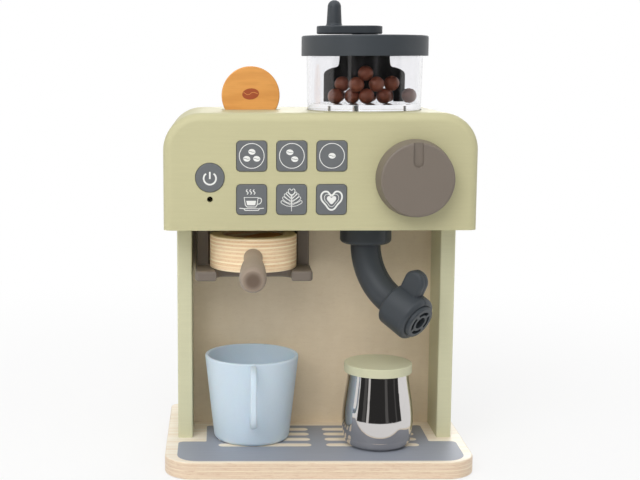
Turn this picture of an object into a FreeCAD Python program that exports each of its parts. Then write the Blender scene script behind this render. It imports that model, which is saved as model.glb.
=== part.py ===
import FreeCAD, Part
import math
import os

# Toy coffee maker. Origin: centre of the base board's underside. +X right, front towards -Y, +Z up.
# All sizes in millimetres.

V = FreeCAD.Vector
UP = V(0, 0, 1)
DOWN = V(0, 0, -1)
BACK = V(0, 1, 0)
FRONT = V(0, -1, 0)
RIGHT = V(1, 0, 0)

# Overall sizes
width = 210.0
base_depth = 145.6
base_thickness = 12.0
bay_height = 153.2
head_height = 78.3
head_depth = 113.2
head_setback = 23.6

# Clearances
running_gap = 0.1
part_gap = 0.3
screw_gap = 0.05

# Base board
base_front_radius = 20.0
base_back_radius = 6.0
base_edge = 1.2

# Side panels and back panel
side_overhang = 8.0
side_thickness = 10.3
side_setback = 56.2
side_back_inset = 2.0
side_edge = 1.0
back_panel_setback = 37.8
back_panel_thickness = 6.0
groove_depth = 4.0

# Head
shell_wall = 8.0
front_panel_thickness = 12.0
rear_cover_thickness = 6.0
head_corner_radius = 25.0
head_edge_radius = 6.0
head_bottom_edge = 1.5
rear_edge_radius = 2.0
dowel_radius = 2.5
dowel_length = 20.0
top_fixing_share = 0.62

# Function buttons: three columns, two rows
button_size = 20.2
button_corner = 2.6
button_proud = 0.8
button_pitch_x = 26.6
button_pitch_z = 29.0
buttons_left_x = -46.0
button_row_height = 20.85
button_flange = 1.6
flange_margin = 1.4
button_stem_radius = 1.8
button_travel = 1.4
button_edge = 0.5

# Power button and indicator
power_radius = 9.65
power_x = -73.8
power_height = 35.6
led_hole_radius = 1.95
led_height = 21.0
led_radius = 1.5

# Selector knob
knob_right_inset = 42.8
knob_height = 35.1
knob_back_radius = 26.0
knob_front_radius = 24.3
knob_depth = 15.4
knob_edge = 1.6
pointer_width = 6.6
pointer_length = 16.0
pointer_depth = 1.6
knob_shaft_radius = 4.0
knob_washer_radius = 15.0
knob_washer_thickness = 0.8
retainer_radius = 9.0
retainer_thickness = 2.5

# Circuit board, keys, speaker, batteries
board_thickness = 1.6
board_gap = 10.4
key_size = 6.0
key_height = 3.5
spacer_radius = 3.0
speaker_radius = 18.0
speaker_depth = 7.0
speaker_x = -62.0
grille_hole_radius = 1.3
grille_pitch = 5.2
cell_radius = 5.2
cell_length = 44.5
cell_count = 3
battery_wall = 1.6
battery_x = 30.0
battery_height = 38.0
door_margin = 4.0
door_gap = 0.35

# Pods, the pod slot and the pod holder
pod_radius = 20.5
pod_thickness = 5.5
pod_edge = 0.8
pod_slot_x = -45.3
pod_slot_y = 12.0
pod_side_play = 0.8
pod_face_play = 0.6
pod_depth = 10.6
holder_wall = 2.5

# Hopper: jar, lid, crank, stirrer, beans
hopper_x = 35.0
hopper_y = 12.0
jar_bottom_radius = 39.8
jar_top_radius = 40.9
jar_wall = 2.0
jar_recess = 3.0
jar_floor = 4.3
jar_height = 50.1
lid_radius = 44.4
lid_height = 14.1
lid_top = 4.4
lid_edge = 1.4
spindle_radius = 6.0
arm_radius = 12.2
arm_throw = 21.7
arm_thickness = 5.6
arm_lift = 1.2
arm_edge = 0.9
grip_base_radius = 5.3
grip_top_radius = 4.7
grip_length = 17.9
stirrer_half_width = 28.5
stirrer_neck = 17.5
stirrer_leg = 7.6
stirrer_arch_height = 14.0
stirrer_shoulder_height = 18.5
stirrer_thickness = 4.0
stirrer_edge = 1.0
stirrer_hub_radius = 10.6
stirrer_lift = 1.2
stirrer_hub_lift = 5.0
beans_across_jar = 7.13

# Steam wand
wand_right_inset = 70.2
wand_y = -12.0
wand_turn = -45.5
collar_radius = 17.9
collar_height = 13.4
collar_edge = 3.2
neck_radius = 10.0
neck_reach = 5.6
clip_thickness = 2.4
clip_radius = 13.5
clip_groove = 1.5
pipe_radius = 10.5
pipe_bore = 8.0
neck_bore = 6.5
bend_radius = 42.0
bend_angle = 63.0
bend_tail = 3.0
spigot_radius = 7.0
spigot_bore = 3.4
seam_width = 0.5
seam_depth = 0.4

# Tap head on the wand
tap_radius = 16.0
tap_length = 22.5
tap_front_edge = 3.2
tap_back_edge = 2.4
tab_width = 16.0
tab_height = 31.0
tab_thickness = 8.6
tab_centre = 9.0
tab_edge = 2.4
tip_radius = 12.0
tip_seat = 3.8
tip_length = 6.2
tip_slot_outer = 8.7
tip_slot_inner = 6.3
tip_hole_radius = 4.4
tip_slot_depth = 3.0
tip_spoke = 2.4

# Filter holder and its bracket
bracket_side_gap = 2.5
bracket_width = 80.8
bracket_wall = 8.9
bracket_floor = 7.0
bracket_front_y = -32.6
bracket_ledge = 29.0
bracket_arm_width = 14.5
bracket_throat_depth = 18.0
bracket_drop = 30.5
bracket_back_y = 19.5
bracket_edge = 1.5
cup_radius = 30.3
cup_height = 23.2
cup_y = -12.0
cup_floor = 6.3
cup_bore_play = 0.6
cup_edge = 1.0
handle_root_radius = 6.4
handle_bulb_radius = 8.4
handle_end_radius = 6.2
handle_length = 89.0
handle_bulb_back = 10.0
handle_spigot = 4.0
holder_turn = -1.7
pod_lean = 15.0

# Mug
mug_left_inset = 60.3
mug_y = -12.3
mug_height = 60.2
mug_rim_radius = 33.1
mug_foot_radius = 26.5
mug_wall = 2.4
mug_floor = 3.5
mug_foot_edge = 3.0
mug_handle_width = 4.6
mug_handle_reach = 20.0
mug_handle_low = 17.0
mug_handle_high = 59.5
mug_handle_band = 6.5

# Milk jug and its lid
jug_right_inset = 62.4
jug_y = -30.3
jug_tap_gap = 17.7
jug_mouth_radius = 20.9
jug_belly_radius = 24.5
jug_foot_radius = 18.3
jug_wall = 1.0
jug_lid_radius = 23.4
jug_lid_thickness = 6.1
jug_plug_depth = 3.5
jug_lid_edge = 0.8

# Screws: shank radius, head radius, length
wood_screw = (1.75, 3.5, 30.0)
thin_screw = (1.4, 2.8, 24.0)
cover_screw = (1.4, 2.8, 16.0)
small_screw = (1.1, 2.2, 9.0)
short_screw = (1.1, 2.2, 5.6)

# Places worked out from the sizes above
half_width = width / 2
base_front = -base_depth / 2
head_bottom = base_thickness + bay_height
head_top = head_bottom + head_height
head_front = base_front + head_setback
head_back = head_front + head_depth
panel_back = head_front + front_panel_thickness
cover_front = head_back - rear_cover_thickness
side_outer = half_width - side_overhang
side_inner = side_outer - side_thickness
side_front = base_front + side_setback
side_back = head_back - side_back_inset
back_panel_y = side_front + back_panel_setback
floor_top = head_bottom + shell_wall
shell_under = head_top - shell_wall
board_front = panel_back + board_gap
knob_x = half_width - knob_right_inset
knob_z = head_bottom + knob_height
power_z = head_bottom + power_height
led_z = head_bottom + led_height
jar_seat = head_top - jar_recess
jar_inside = head_top + jar_floor
jar_top = jar_seat + jar_height
bean_radius = (jar_bottom_radius - jar_wall) / beans_across_jar
lid_bottom = jar_top + lid_top - lid_height
lid_face = jar_top + lid_top
arm_bottom = lid_face + arm_lift
arm_top = arm_bottom + arm_thickness
wand_x = half_width - wand_right_inset
collar_top = head_bottom - part_gap
collar_bottom = collar_top - collar_height
bracket_x = -side_inner + bracket_side_gap + bracket_width / 2
ledge_z = head_bottom - bracket_drop
cup_x = bracket_x
cup_z = ledge_z + part_gap
handle_z = cup_z + 0.45 * cup_height
mug_x = -half_width + mug_left_inset
jug_x = half_width - jug_right_inset
wand_slope = math.radians(bend_angle)
tap_end_reach = bend_tail + part_gap + tap_length
bend_low = collar_bottom - bend_radius * math.sin(wand_slope)
tap_low = bend_low - tap_end_reach * math.cos(wand_slope) - tap_radius * math.sin(wand_slope)
jug_height = tap_low - jug_tap_gap - jug_lid_thickness - base_thickness
cell_box_width = cell_count * (2 * cell_radius + 1) + 2 * battery_wall
cell_box_height = cell_length + 2 * battery_wall + 2


def box(low, high):
    """Box between two opposite corners."""
    return Part.makeBox(high[0] - low[0], high[1] - low[1], high[2] - low[2], V(*low))


def rod(radius, start, direction, length):
    """Round bar from a start point."""
    return Part.makeCylinder(radius, length, V(*start), direction)


def rounded_face(low, high, radii, lift):
    """Rectangle with its own radius at each corner, from the low corner round by the high second side.

    lift turns the two coordinates of the outline into a point.
    """
    corners = [(low[0], low[1]), (high[0], low[1]), (high[0], high[1]), (low[0], high[1])]
    inward = [(1, 1), (-1, 1), (-1, -1), (1, -1)]
    along_first = [False, True, False, True]
    edges = []
    ends = []
    for corner, sign, radius, first in zip(corners, inward, radii, along_first):
        on_a = (corner[0] + sign[0] * radius, corner[1])
        on_b = (corner[0], corner[1] + sign[1] * radius)
        start, end = (on_a, on_b) if first else (on_b, on_a)
        bulge = radius * (1 - math.sqrt(0.5))
        middle = (corner[0] + sign[0] * bulge, corner[1] + sign[1] * bulge)
        ends.append((start, middle, end, radius))
    for index, (start, middle, end, radius) in enumerate(ends):
        if radius > 0:
            edges.append(Part.Arc(lift(*start), lift(*middle), lift(*end)).toShape())
        following = ends[(index + 1) % 4][0]
        if math.dist(end, following) > 1e-6:
            edges.append(Part.makeLine(lift(*end), lift(*following)))
    return Part.Face(Part.Wire(edges))


def slab(low, high, radii, bottom, height):
    """Upright board with a rounded outline seen from above."""
    return rounded_face(low, high, radii, lambda x, y: V(x, y, bottom)).extrude(V(0, 0, height))


def plate(low, high, radii, front, depth):
    """Board that faces front, with a rounded outline in X and Z."""
    return rounded_face(low, high, radii, lambda x, z: V(x, front, z)).extrude(V(0, depth, 0))


def turned(profile, centre, axis=UP):
    """Solid of revolution; profile points are radius and height along the axis."""
    points = [V(radius, 0, height) for radius, height in profile]
    face = Part.Face(Part.makePolygon(points + points[:1]))
    solid = face.revolve(V(0, 0, 0), UP, 360)
    return placed(solid, centre, axis)


def placed(shape, point, direction=UP):
    """Copy of a shape made at the origin along +Z, set at a point along a direction."""
    copy = shape.copy()
    copy.Placement = FreeCAD.Placement(V(*point), FreeCAD.Rotation(UP, direction))
    return copy


def soften(shape, radius, chosen):
    """Round the edges that a test picks."""
    return shape.makeFillet(radius, [edge for edge in shape.Edges if chosen(edge)])


def at_level(level, axis):
    """Test for edges that lie wholly at one level along an axis, 0 for X, 1 for Y, 2 for Z."""
    names = ["X", "Y", "Z"]
    name = names[axis]

    def test(edge):
        bounds = edge.BoundBox
        low = getattr(bounds, name + "Min")
        high = getattr(bounds, name + "Max")
        return abs(low - level) < 1e-3 and abs(high - level) < 1e-3

    return test


def any_of(*tests):
    """Test that is met when one of several is met."""
    return lambda edge: any(test(edge) for test in tests)


def group(solids):
    """Several separate solids kept in one node."""
    return Part.makeCompound(solids)


def screw(kind, head_at, direction, extra=0.0, recess=True):
    """Countersunk screw whose flat head lies at a point; extra grows it into its own hole."""
    shank, head, length = kind
    cone = Part.makeCone(head + extra, shank + extra, head - shank)
    body = Part.makeCylinder(shank + extra, length + extra)
    solid = cone.fuse(body)
    if recess:
        arm = head * 1.1
        blade = 0.32 * shank
        depth = 0.55 * (head - shank)
        first = box((-arm / 2, -blade, 0), (arm / 2, blade, depth))
        second = box((-blade, -arm / 2, 0), (blade, arm / 2, depth))
        solid = solid.cut(first.fuse(second))
    return placed(solid, head_at, direction)


def screws(kind, places):
    """Group of like screws."""
    return group([screw(kind, point, direction) for point, direction in places])


def drilled(shape, kind, places):
    """Shape with the holes of a group of screws."""
    holes = [screw(kind, point, direction, screw_gap, False) for point, direction in places]
    return shape.cut(holes)


# Base board, panels and the screws between them

def base_screw_places():
    """Screws that come up through the base board into the side panels and the back panel."""
    x = (side_outer + side_inner) / 2
    span = side_back - side_front
    near = side_front + 0.15 * span
    far = side_back - 0.15 * span
    return [((side * x, y, 0.3), UP) for side in (-1, 1) for y in (near, far)]


def back_panel_screw_places():
    """Thin screws from below into the back panel's lower edge."""
    y = back_panel_y + back_panel_thickness / 2
    return [((side * 0.45 * side_inner, y, 0.3), UP) for side in (-1, 1)]


def base_board():
    """Plywood board that everything stands on, its front corners well rounded."""
    radii = (base_front_radius, base_front_radius, base_back_radius, base_back_radius)
    board = slab((-half_width, base_front), (half_width, -base_front), radii, 0, base_thickness)
    board = soften(board, base_edge, any_of(at_level(0, 2), at_level(base_thickness, 2)))
    board = drilled(board, wood_screw, base_screw_places())
    return drilled(board, thin_screw, back_panel_screw_places())


def head_screw_places():
    """Screws that go down through the head's floor into the side panels."""
    return [((point[0], point[1], floor_top - 0.3), DOWN) for point, _ in base_screw_places()]


def side_panel(side):
    """Upright board at one side, grooved for the back panel; side is -1 for left and 1 for right."""
    inner, outer = sorted((side * side_inner, side * side_outer))
    panel = box((inner, side_front, base_thickness), (outer, side_back, head_bottom))
    panel = soften(panel, side_edge, lambda edge: edge.BoundBox.ZLength > bay_height / 2)
    groove_low, groove_high = sorted((side * side_inner, side * (side_inner + groove_depth)))
    groove_end = back_panel_y + back_panel_thickness
    groove = box((groove_low, back_panel_y, base_thickness), (groove_high, groove_end, head_bottom))
    panel = panel.cut(groove)
    panel = drilled(panel, wood_screw, base_screw_places())
    return drilled(panel, wood_screw, head_screw_places())


def back_panel():
    """Thin board that closes the bay's back, held in the side panels' grooves."""
    reach = side_inner + groove_depth - part_gap
    panel = box(
        (-reach, back_panel_y, base_thickness),
        (reach, back_panel_y + back_panel_thickness, head_bottom),
    )
    return drilled(panel, thin_screw, back_panel_screw_places())


# Head casing

def head_radii(inset=0.0):
    """Corner radii of the head's outline, in from the outside by an inset."""
    return (0, 0, head_corner_radius - inset, head_corner_radius - inset)


def button_places():
    """Centres of the function buttons by name."""
    places = {}
    for row, row_name in ((1, "top"), (0, "bottom")):
        for column, column_name in enumerate(("left", "middle", "right")):
            x = buttons_left_x + column * button_pitch_x
            z = head_bottom + button_row_height + row * button_pitch_z
            places[f"{row_name}_{column_name}_button"] = (x, z)
    return places


def dowel_places():
    """Dowel centres in the seam between front panel and shell: two up each side and two across the top."""
    side_x = half_width - shell_wall / 2
    top_z = head_top - shell_wall / 2
    low_z = head_bottom + 0.2 * head_height
    high_z = head_bottom + 0.55 * head_height
    places = [(side * side_x, z) for side in (-1, 1) for z in (low_z, high_z)]
    return places + [(side * top_fixing_share * half_width, top_z) for side in (-1, 1)]


def dowel_bars(extra):
    """Dowels across the seam, grown by extra for their holes."""
    start = panel_back - dowel_length / 2 - extra
    return [rod(dowel_radius + extra, (x, start, z), BACK, dowel_length + 2 * extra)
            for x, z in dowel_places()]


def board_screw_places():
    """Screws from behind the circuit board into the front panel."""
    left = power_x - power_radius + 1
    right = buttons_left_x + 2 * button_pitch_x + button_size / 2 + flange_margin + spacer_radius + 1
    low = floor_top + 4
    high = shell_under - 8
    y = board_front + board_thickness
    return [((x, y, z), FRONT) for x in (left, right) for z in (low, high)]


def board_screw_kind():
    """Screws long enough to go through board and spacer into the panel."""
    shank, head, _ = small_screw
    return (shank, head, board_thickness + board_gap + 7)


def front_panel():
    """Thick front board with rounded top corners and edges, and the holes of everything on it."""
    panel = plate(
        (-half_width, head_bottom), (half_width, head_top), head_radii(), head_front, front_panel_thickness
    )
    front_edge = at_level(head_front, 1)
    bottom_edge = at_level(head_bottom, 2)
    panel = soften(panel, head_edge_radius, lambda edge: front_edge(edge) and not bottom_edge(edge))
    for x, z in button_places().values():
        half = button_size / 2 + part_gap
        radius = button_corner + part_gap
        panel = panel.cut(plate((x - half, z - half), (x + half, z + half), (radius,) * 4,
                                head_front - 1, front_panel_thickness + 2))
    through = front_panel_thickness + 2
    panel = panel.cut([
        rod(power_radius + part_gap, (power_x, head_front - 1, power_z), BACK, through),
        rod(led_hole_radius, (power_x, head_front - 1, led_z), BACK, through),
        rod(knob_shaft_radius + running_gap, (knob_x, head_front - 1, knob_z), BACK, through),
    ] + dowel_bars(screw_gap))
    return drilled(panel, board_screw_kind(), board_screw_places())


def jar_screw_places():
    """Screws from inside the head up into the jar's floor."""
    places = []
    for turn in (90, 210, 330):
        angle = math.radians(turn)
        radius = 0.62 * jar_bottom_radius
        x = hopper_x + radius * math.cos(angle)
        y = hopper_y + radius * math.sin(angle)
        places.append(((x, y, shell_under + 0.3), UP))
    return places


def jar_screw_kind():
    """Screws that end inside the jar's floor."""
    shank, head, _ = small_screw
    return (shank, head, head_top + jar_floor - 1.5 - shell_under)


def rear_screw_places():
    """Screws from behind through the rear cover into the shell's wall."""
    side_x = half_width - shell_wall / 2
    top_z = head_top - shell_wall / 2
    places = [(side * side_x, head_bottom + share * head_height) for side in (-1, 1) for share in (0.2, 0.55)]
    places += [(side * top_fixing_share * half_width, top_z) for side in (-1, 1)]
    return [((x, head_back - 0.2, z), FRONT) for x, z in places]


def pod_slot_size():
    """Length and width of the pod slot."""
    return 2 * (pod_radius + pod_side_play), pod_thickness + 2 * pod_face_play


def head_shell():
    """Arched shell of the head: sides and top in one, open below, in front and behind."""
    depth = cover_front - panel_back
    outer = plate((-half_width, head_bottom), (half_width, head_top), head_radii(), panel_back, depth)
    inner = plate(
        (-half_width + shell_wall, head_bottom - 1), (half_width - shell_wall, shell_under),
        head_radii(shell_wall), panel_back - 1, depth + 2,
    )
    shell = outer.cut(inner)
    length, slot_width = pod_slot_size()
    slot = slab(
        (pod_slot_x - length / 2, pod_slot_y - slot_width / 2),
        (pod_slot_x + length / 2, pod_slot_y + slot_width / 2),
        (slot_width / 2 - 0.01,) * 4, shell_under - 1, shell_wall + 2,
    )
    recess = rod(jar_bottom_radius + part_gap + 0.4, (hopper_x, hopper_y, jar_seat), UP, jar_recess + 1)
    shell = shell.cut([slot, recess] + dowel_bars(screw_gap))
    shell = drilled(shell, jar_screw_kind(), jar_screw_places())
    return drilled(shell, cover_screw, rear_screw_places())


def bracket_screw_places():
    """Screws down through the head's floor into the bracket's two walls."""
    reach = bracket_width / 2 - bracket_wall / 2 - 0.6
    wall_front = bracket_front_y + bracket_ledge
    span = bracket_back_y - wall_front
    return [
        ((bracket_x + side * reach, wall_front + share * span, floor_top - 0.3), DOWN)
        for side in (-1, 1) for share in (0.25, 0.75)
    ]


def head_floor():
    """Board under the head, which sits on the side panels and carries bracket and wand."""
    reach = half_width - shell_wall
    floor = box((-reach, panel_back, head_bottom), (reach, cover_front, floor_top))
    floor = floor.cut(rod(neck_radius + running_gap, (wand_x, wand_y, head_bottom - 1), UP, shell_wall + 2))
    floor = drilled(floor, wood_screw, head_screw_places())
    return drilled(floor, thin_screw, bracket_screw_places())


def door_opening(margin):
    """Corners in X and Z of the battery door's hole, out from the cell box by a margin."""
    z = head_bottom + battery_height
    half_x = cell_box_width / 2 + margin
    half_z = cell_box_height / 2 + margin
    return (battery_x - half_x, z - half_z), (battery_x + half_x, z + half_z)


def door_screw_place():
    """Screw that locks the battery door, in the tongue at the door's top."""
    low, high = door_opening(0)
    return [((battery_x, head_back - 0.2, high[1] + door_margin), FRONT)]


def grille_holes():
    """Round pattern of sound holes in front of the speaker."""
    holes = []
    z = head_bottom + battery_height
    rows = int(speaker_radius // grille_pitch)
    for i in range(-rows, rows + 1):
        for j in range(-rows, rows + 1):
            if math.hypot(i, j) * grille_pitch < speaker_radius - 3:
                start = (speaker_x + i * grille_pitch, cover_front - 1, z + j * grille_pitch)
                holes.append(rod(grille_hole_radius, start, BACK, rear_cover_thickness + 2))
    return holes


def rear_cover():
    """Board over the head's back, with sound holes and the battery door's hole and ledge."""
    cover = plate(
        (-half_width, head_bottom), (half_width, head_top), head_radii(), cover_front, rear_cover_thickness
    )
    cover = soften(cover, rear_edge_radius, at_level(head_back, 1))
    low, high = door_opening(0)
    hole = box((low[0], cover_front - 1, low[1]), (high[0], head_back + 1, high[1]))
    seat_low, seat_high = door_opening(2 * door_margin)
    seat = box((seat_low[0], head_back - rear_cover_thickness / 2, seat_low[1]),
               (seat_high[0], head_back + 1, seat_high[1]))
    cover = cover.cut([hole, seat] + grille_holes())
    cover = drilled(cover, cover_screw, rear_screw_places())
    return drilled(cover, short_screw, door_screw_place())


def battery_door():
    """Flush door over the battery box."""
    low, high = door_opening(2 * door_margin - door_gap)
    front = head_back - rear_cover_thickness / 2
    door = box((low[0], front, low[1]), (high[0], head_back, high[1]))
    door = soften(door, 1.0, lambda edge: edge.BoundBox.YLength > 1)
    return drilled(door, short_screw, door_screw_place())


# Buttons, knob and electronics behind the front panel

def key_button(outline, flange, centre):
    """Button cap with a flange behind the panel and a stem towards its key.

    outline and flange are faces drawn at the button's front and at the panel's back.
    """
    x, z = centre
    cap = outline.extrude(V(0, button_proud + front_panel_thickness, 0))
    cap = soften(cap, button_edge, at_level(head_front - button_proud, 1))
    rear = flange.extrude(V(0, button_flange, 0))
    stem_end = board_front - key_height - button_travel - 0.2
    stem = rod(button_stem_radius, (x, panel_back, z), BACK, stem_end - panel_back)
    return cap.fuse([rear, stem]).removeSplitter()


def function_button(centre):
    """Square button of the front panel."""
    x, z = centre
    half = button_size / 2
    wide = half + flange_margin

    def square(reach, radius, y):
        return rounded_face((x - reach, z - reach), (x + reach, z + reach), (radius,) * 4,
                            lambda a, b: V(a, y, b))

    return key_button(square(half, button_corner, head_front - button_proud),
                      square(wide, button_corner, panel_back), centre)


def power_button():
    """Round button at the left of the front panel."""
    def disc(radius, y):
        return Part.Face(Part.Wire(Part.makeCircle(radius, V(power_x, y, power_z), BACK)))

    return key_button(disc(power_radius, head_front - button_proud),
                      disc(power_radius + flange_margin, panel_back), (power_x, power_z))


def circuit_board():
    """Board behind the buttons, with its screw holes."""
    places = board_screw_places()
    xs = [point[0] for point, _ in places]
    zs = [point[2] for point, _ in places]
    margin = 4
    low = (min(xs) - margin, board_front, min(zs) - margin + 0.5)
    high = (max(xs) + margin, board_front + board_thickness, max(zs) + margin)
    return drilled(box(low, high), board_screw_kind(), places)


def board_spacers():
    """Tubes that hold the circuit board off the front panel."""
    hole = small_screw[0] + screw_gap
    tubes = []
    for point, _ in board_screw_places():
        start = (point[0], panel_back, point[2])
        tubes.append(rod(spacer_radius, start, BACK, board_gap).cut(rod(hole, start, BACK, board_gap)))
    return group(tubes)


def key_switches():
    """One switch on the board behind each button."""
    centres = list(button_places().values()) + [(power_x, power_z)]
    half = key_size / 2
    return group([
        box((x - half, board_front - key_height, z - half), (x + half, board_front, z + half))
        for x, z in centres
    ])


def indicator_lamp():
    """Small lamp on the board whose domed end lies in the hole below the power button."""
    front = head_front + 4
    body = rod(led_radius, (power_x, front + led_radius, led_z), BACK, board_front - front - led_radius)
    return body.fuse(Part.makeSphere(led_radius, V(power_x, front + led_radius, led_z))).removeSplitter()


def speaker():
    """Small round speaker against the rear cover's sound holes: frame, magnet and a hollow cone."""
    centre = (speaker_x, cover_front, head_bottom + battery_height)
    profile = [
        (0, 1.5), (5, 1.5), (speaker_radius - 3, 0), (speaker_radius, 0), (speaker_radius, 1.5),
        (speaker_radius - 4, 2.2), (9, speaker_depth - 2.5), (9, speaker_depth), (0, speaker_depth),
    ]
    return turned(profile, centre, FRONT)


def battery_box():
    """Open box for the cells, behind the door."""
    low, high = door_opening(0)
    depth = 2 * cell_radius + battery_wall + 1
    outer = box((low[0], cover_front - depth, low[1]), (high[0], cover_front, high[1]))
    rim_low, rim_high = door_opening(door_margin)
    rim = box((rim_low[0], cover_front - battery_wall, rim_low[1]), (rim_high[0], cover_front, rim_high[1]))
    inner = box(
        (low[0] + battery_wall, cover_front - depth + battery_wall, low[1] + battery_wall),
        (high[0] - battery_wall, cover_front + 1, high[1] - battery_wall),
    )
    return outer.fuse(rim).cut(inner).removeSplitter()


def batteries():
    """Cells side by side in their box."""
    low, high = door_opening(0)
    cells = []
    for index in range(cell_count):
        x = low[0] + battery_wall + (index + 0.5) * (2 * cell_radius + 1)
        y = cover_front - cell_radius - 0.7
        foot = low[1] + battery_wall + 0.5
        body = rod(cell_radius, (x, y, foot), UP, cell_length - 1)
        cells.append(body.fuse(rod(1.9, (x, y, foot + cell_length - 1), UP, 1)))
    return group(cells)


def selector_knob():
    """Round knob with a pointer slot at its top and a blind hole for its shaft."""
    back = head_front - knob_washer_thickness - part_gap
    profile = [(0, 0), (knob_back_radius, 0), (knob_front_radius, knob_depth), (0, knob_depth)]
    knob = turned(profile, (knob_x, back, knob_z), FRONT)
    knob = soften(knob, knob_edge, at_level(back - knob_depth, 1))
    half = pointer_width / 2
    low = (knob_x - half, knob_z + knob_front_radius - pointer_length)
    high = (knob_x + half, knob_z + knob_back_radius + 1)
    slot = plate(low, high, (half - 0.01, half - 0.01, 0, 0), back - knob_depth - 1, pointer_depth + 1)
    hole = rod(knob_shaft_radius + screw_gap, (knob_x, back + 1, knob_z), FRONT, knob_depth - 3)
    return knob.cut([slot, hole])


def knob_shaft():
    """Shaft from the knob through the front panel."""
    back = head_front - knob_washer_thickness - part_gap
    start = back - knob_depth + 4
    end = panel_back + part_gap + retainer_thickness + 2
    return rod(knob_shaft_radius, (knob_x, start, knob_z), BACK, end - start)


def knob_retainer():
    """Ring pushed on the shaft behind the front panel."""
    start = (knob_x, panel_back + part_gap, knob_z)
    hole = rod(knob_shaft_radius + screw_gap, start, BACK, retainer_thickness)
    return rod(retainer_radius, start, BACK, retainer_thickness).cut(hole)


def knob_washer():
    """Thin washer between the knob and the front panel."""
    start = (knob_x, head_front - knob_washer_thickness, knob_z)
    hole = rod(knob_shaft_radius + running_gap, start, BACK, knob_washer_thickness)
    return rod(knob_washer_radius, start, BACK, knob_washer_thickness).cut(hole)


# Pods and their holder

def pod():
    """Wooden disc at the origin, flat."""
    disc = Part.makeCylinder(pod_radius, pod_thickness, V(0, 0, -pod_thickness / 2))
    return disc.makeFillet(pod_edge, [edge for edge in disc.Edges if edge.Closed])


def slot_pod():
    """Pod that stands on edge in the slot on top."""
    z = head_top - pod_depth + pod_radius
    return placed(pod(), (pod_slot_x, pod_slot_y, z), BACK)


def pod_holder():
    """Tray under the slot that the pod's edge stands on."""
    length, slot_width = pod_slot_size()
    half_x = length / 2 + holder_wall
    half_y = slot_width / 2 + holder_wall
    bottom = head_top - pod_depth - part_gap
    block = box((pod_slot_x - half_x, pod_slot_y - half_y, bottom - holder_wall),
                (pod_slot_x + half_x, pod_slot_y + half_y, shell_under))
    pocket = slab(
        (pod_slot_x - length / 2, pod_slot_y - slot_width / 2),
        (pod_slot_x + length / 2, pod_slot_y + slot_width / 2),
        (slot_width / 2 - 0.01,) * 4, bottom, shell_wall,
    )
    return block.cut(pocket)


# Hopper on top

def jar_radius(z):
    """Outer radius of the jar at a height; it widens a little towards the top."""
    share = (z - jar_seat) / jar_height
    return jar_bottom_radius + share * (jar_top_radius - jar_bottom_radius)


def hopper_jar():
    """Clear jar with a thick floor and a foot ring that sits in the shell's recess."""
    foot = jar_wall * 1.7
    profile = [
        (0, head_top), (jar_bottom_radius - foot, head_top), (jar_bottom_radius - foot, jar_seat),
        (jar_radius(jar_seat), jar_seat), (jar_radius(jar_top), jar_top),
        (jar_radius(jar_top) - jar_wall, jar_top), (jar_radius(jar_inside) - jar_wall, jar_inside),
        (0, jar_inside),
    ]
    jar = turned(profile, (hopper_x, hopper_y, 0))
    return drilled(jar, jar_screw_kind(), jar_screw_places())


def hopper_lid():
    """Lid whose skirt fits over the jar's mouth, with the spindle's hole."""
    skirt = jar_radius(jar_top) + part_gap
    profile = [
        (spindle_radius + running_gap, jar_top), (skirt, jar_top), (skirt, lid_bottom),
        (lid_radius, lid_bottom), (lid_radius, lid_face), (spindle_radius + running_gap, lid_face),
    ]
    lid = turned(profile, (hopper_x, hopper_y, 0))
    return soften(lid, lid_edge, lambda edge: at_level(lid_face, 2)(edge)
                  and edge.BoundBox.XLength > 2 * lid_radius - 0.2)


def crank_screw_kind():
    """Screw that draws the stirrer up to the crank."""
    shank, head, _ = thin_screw
    return (shank, head, arm_top - lid_face + 22)


def crank_screw_place():
    """Place of the crank's screw, from above."""
    return [((hopper_x, hopper_y, arm_top - 0.4), DOWN)]


def crank():
    """Stadium-shaped arm with an upright grip at one end and a spindle through the lid at the other."""
    grip_x = hopper_x - arm_throw
    radius = arm_radius - 0.01
    arm = slab(
        (grip_x - arm_radius, hopper_y - arm_radius), (hopper_x + arm_radius, hopper_y + arm_radius),
        (radius,) * 4, arm_bottom, arm_thickness,
    )
    arm = soften(arm, arm_edge, any_of(at_level(arm_bottom, 2), at_level(arm_top, 2)))
    straight = grip_length - grip_top_radius
    profile = [
        (0, -0.5), (grip_base_radius + 1.4, -0.5), (grip_base_radius + 1.4, 0),
        (grip_base_radius + 0.4, 0.6), (grip_base_radius, 1.8), (grip_top_radius, straight), (0, straight),
    ]
    grip = turned(profile, (grip_x, hopper_y, arm_top))
    dome = Part.makeSphere(grip_top_radius, V(grip_x, hopper_y, arm_top + straight))
    boss = rod(spindle_radius + 3, (hopper_x, hopper_y, lid_face + part_gap), UP, arm_bottom - lid_face)
    spindle_foot = jar_top - part_gap - 1
    spindle = rod(spindle_radius, (hopper_x, hopper_y, spindle_foot), UP, arm_bottom - spindle_foot)
    solid = arm.fuse([grip, dome, boss, spindle]).removeSplitter()
    return drilled(solid, crank_screw_kind(), crank_screw_place())


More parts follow.
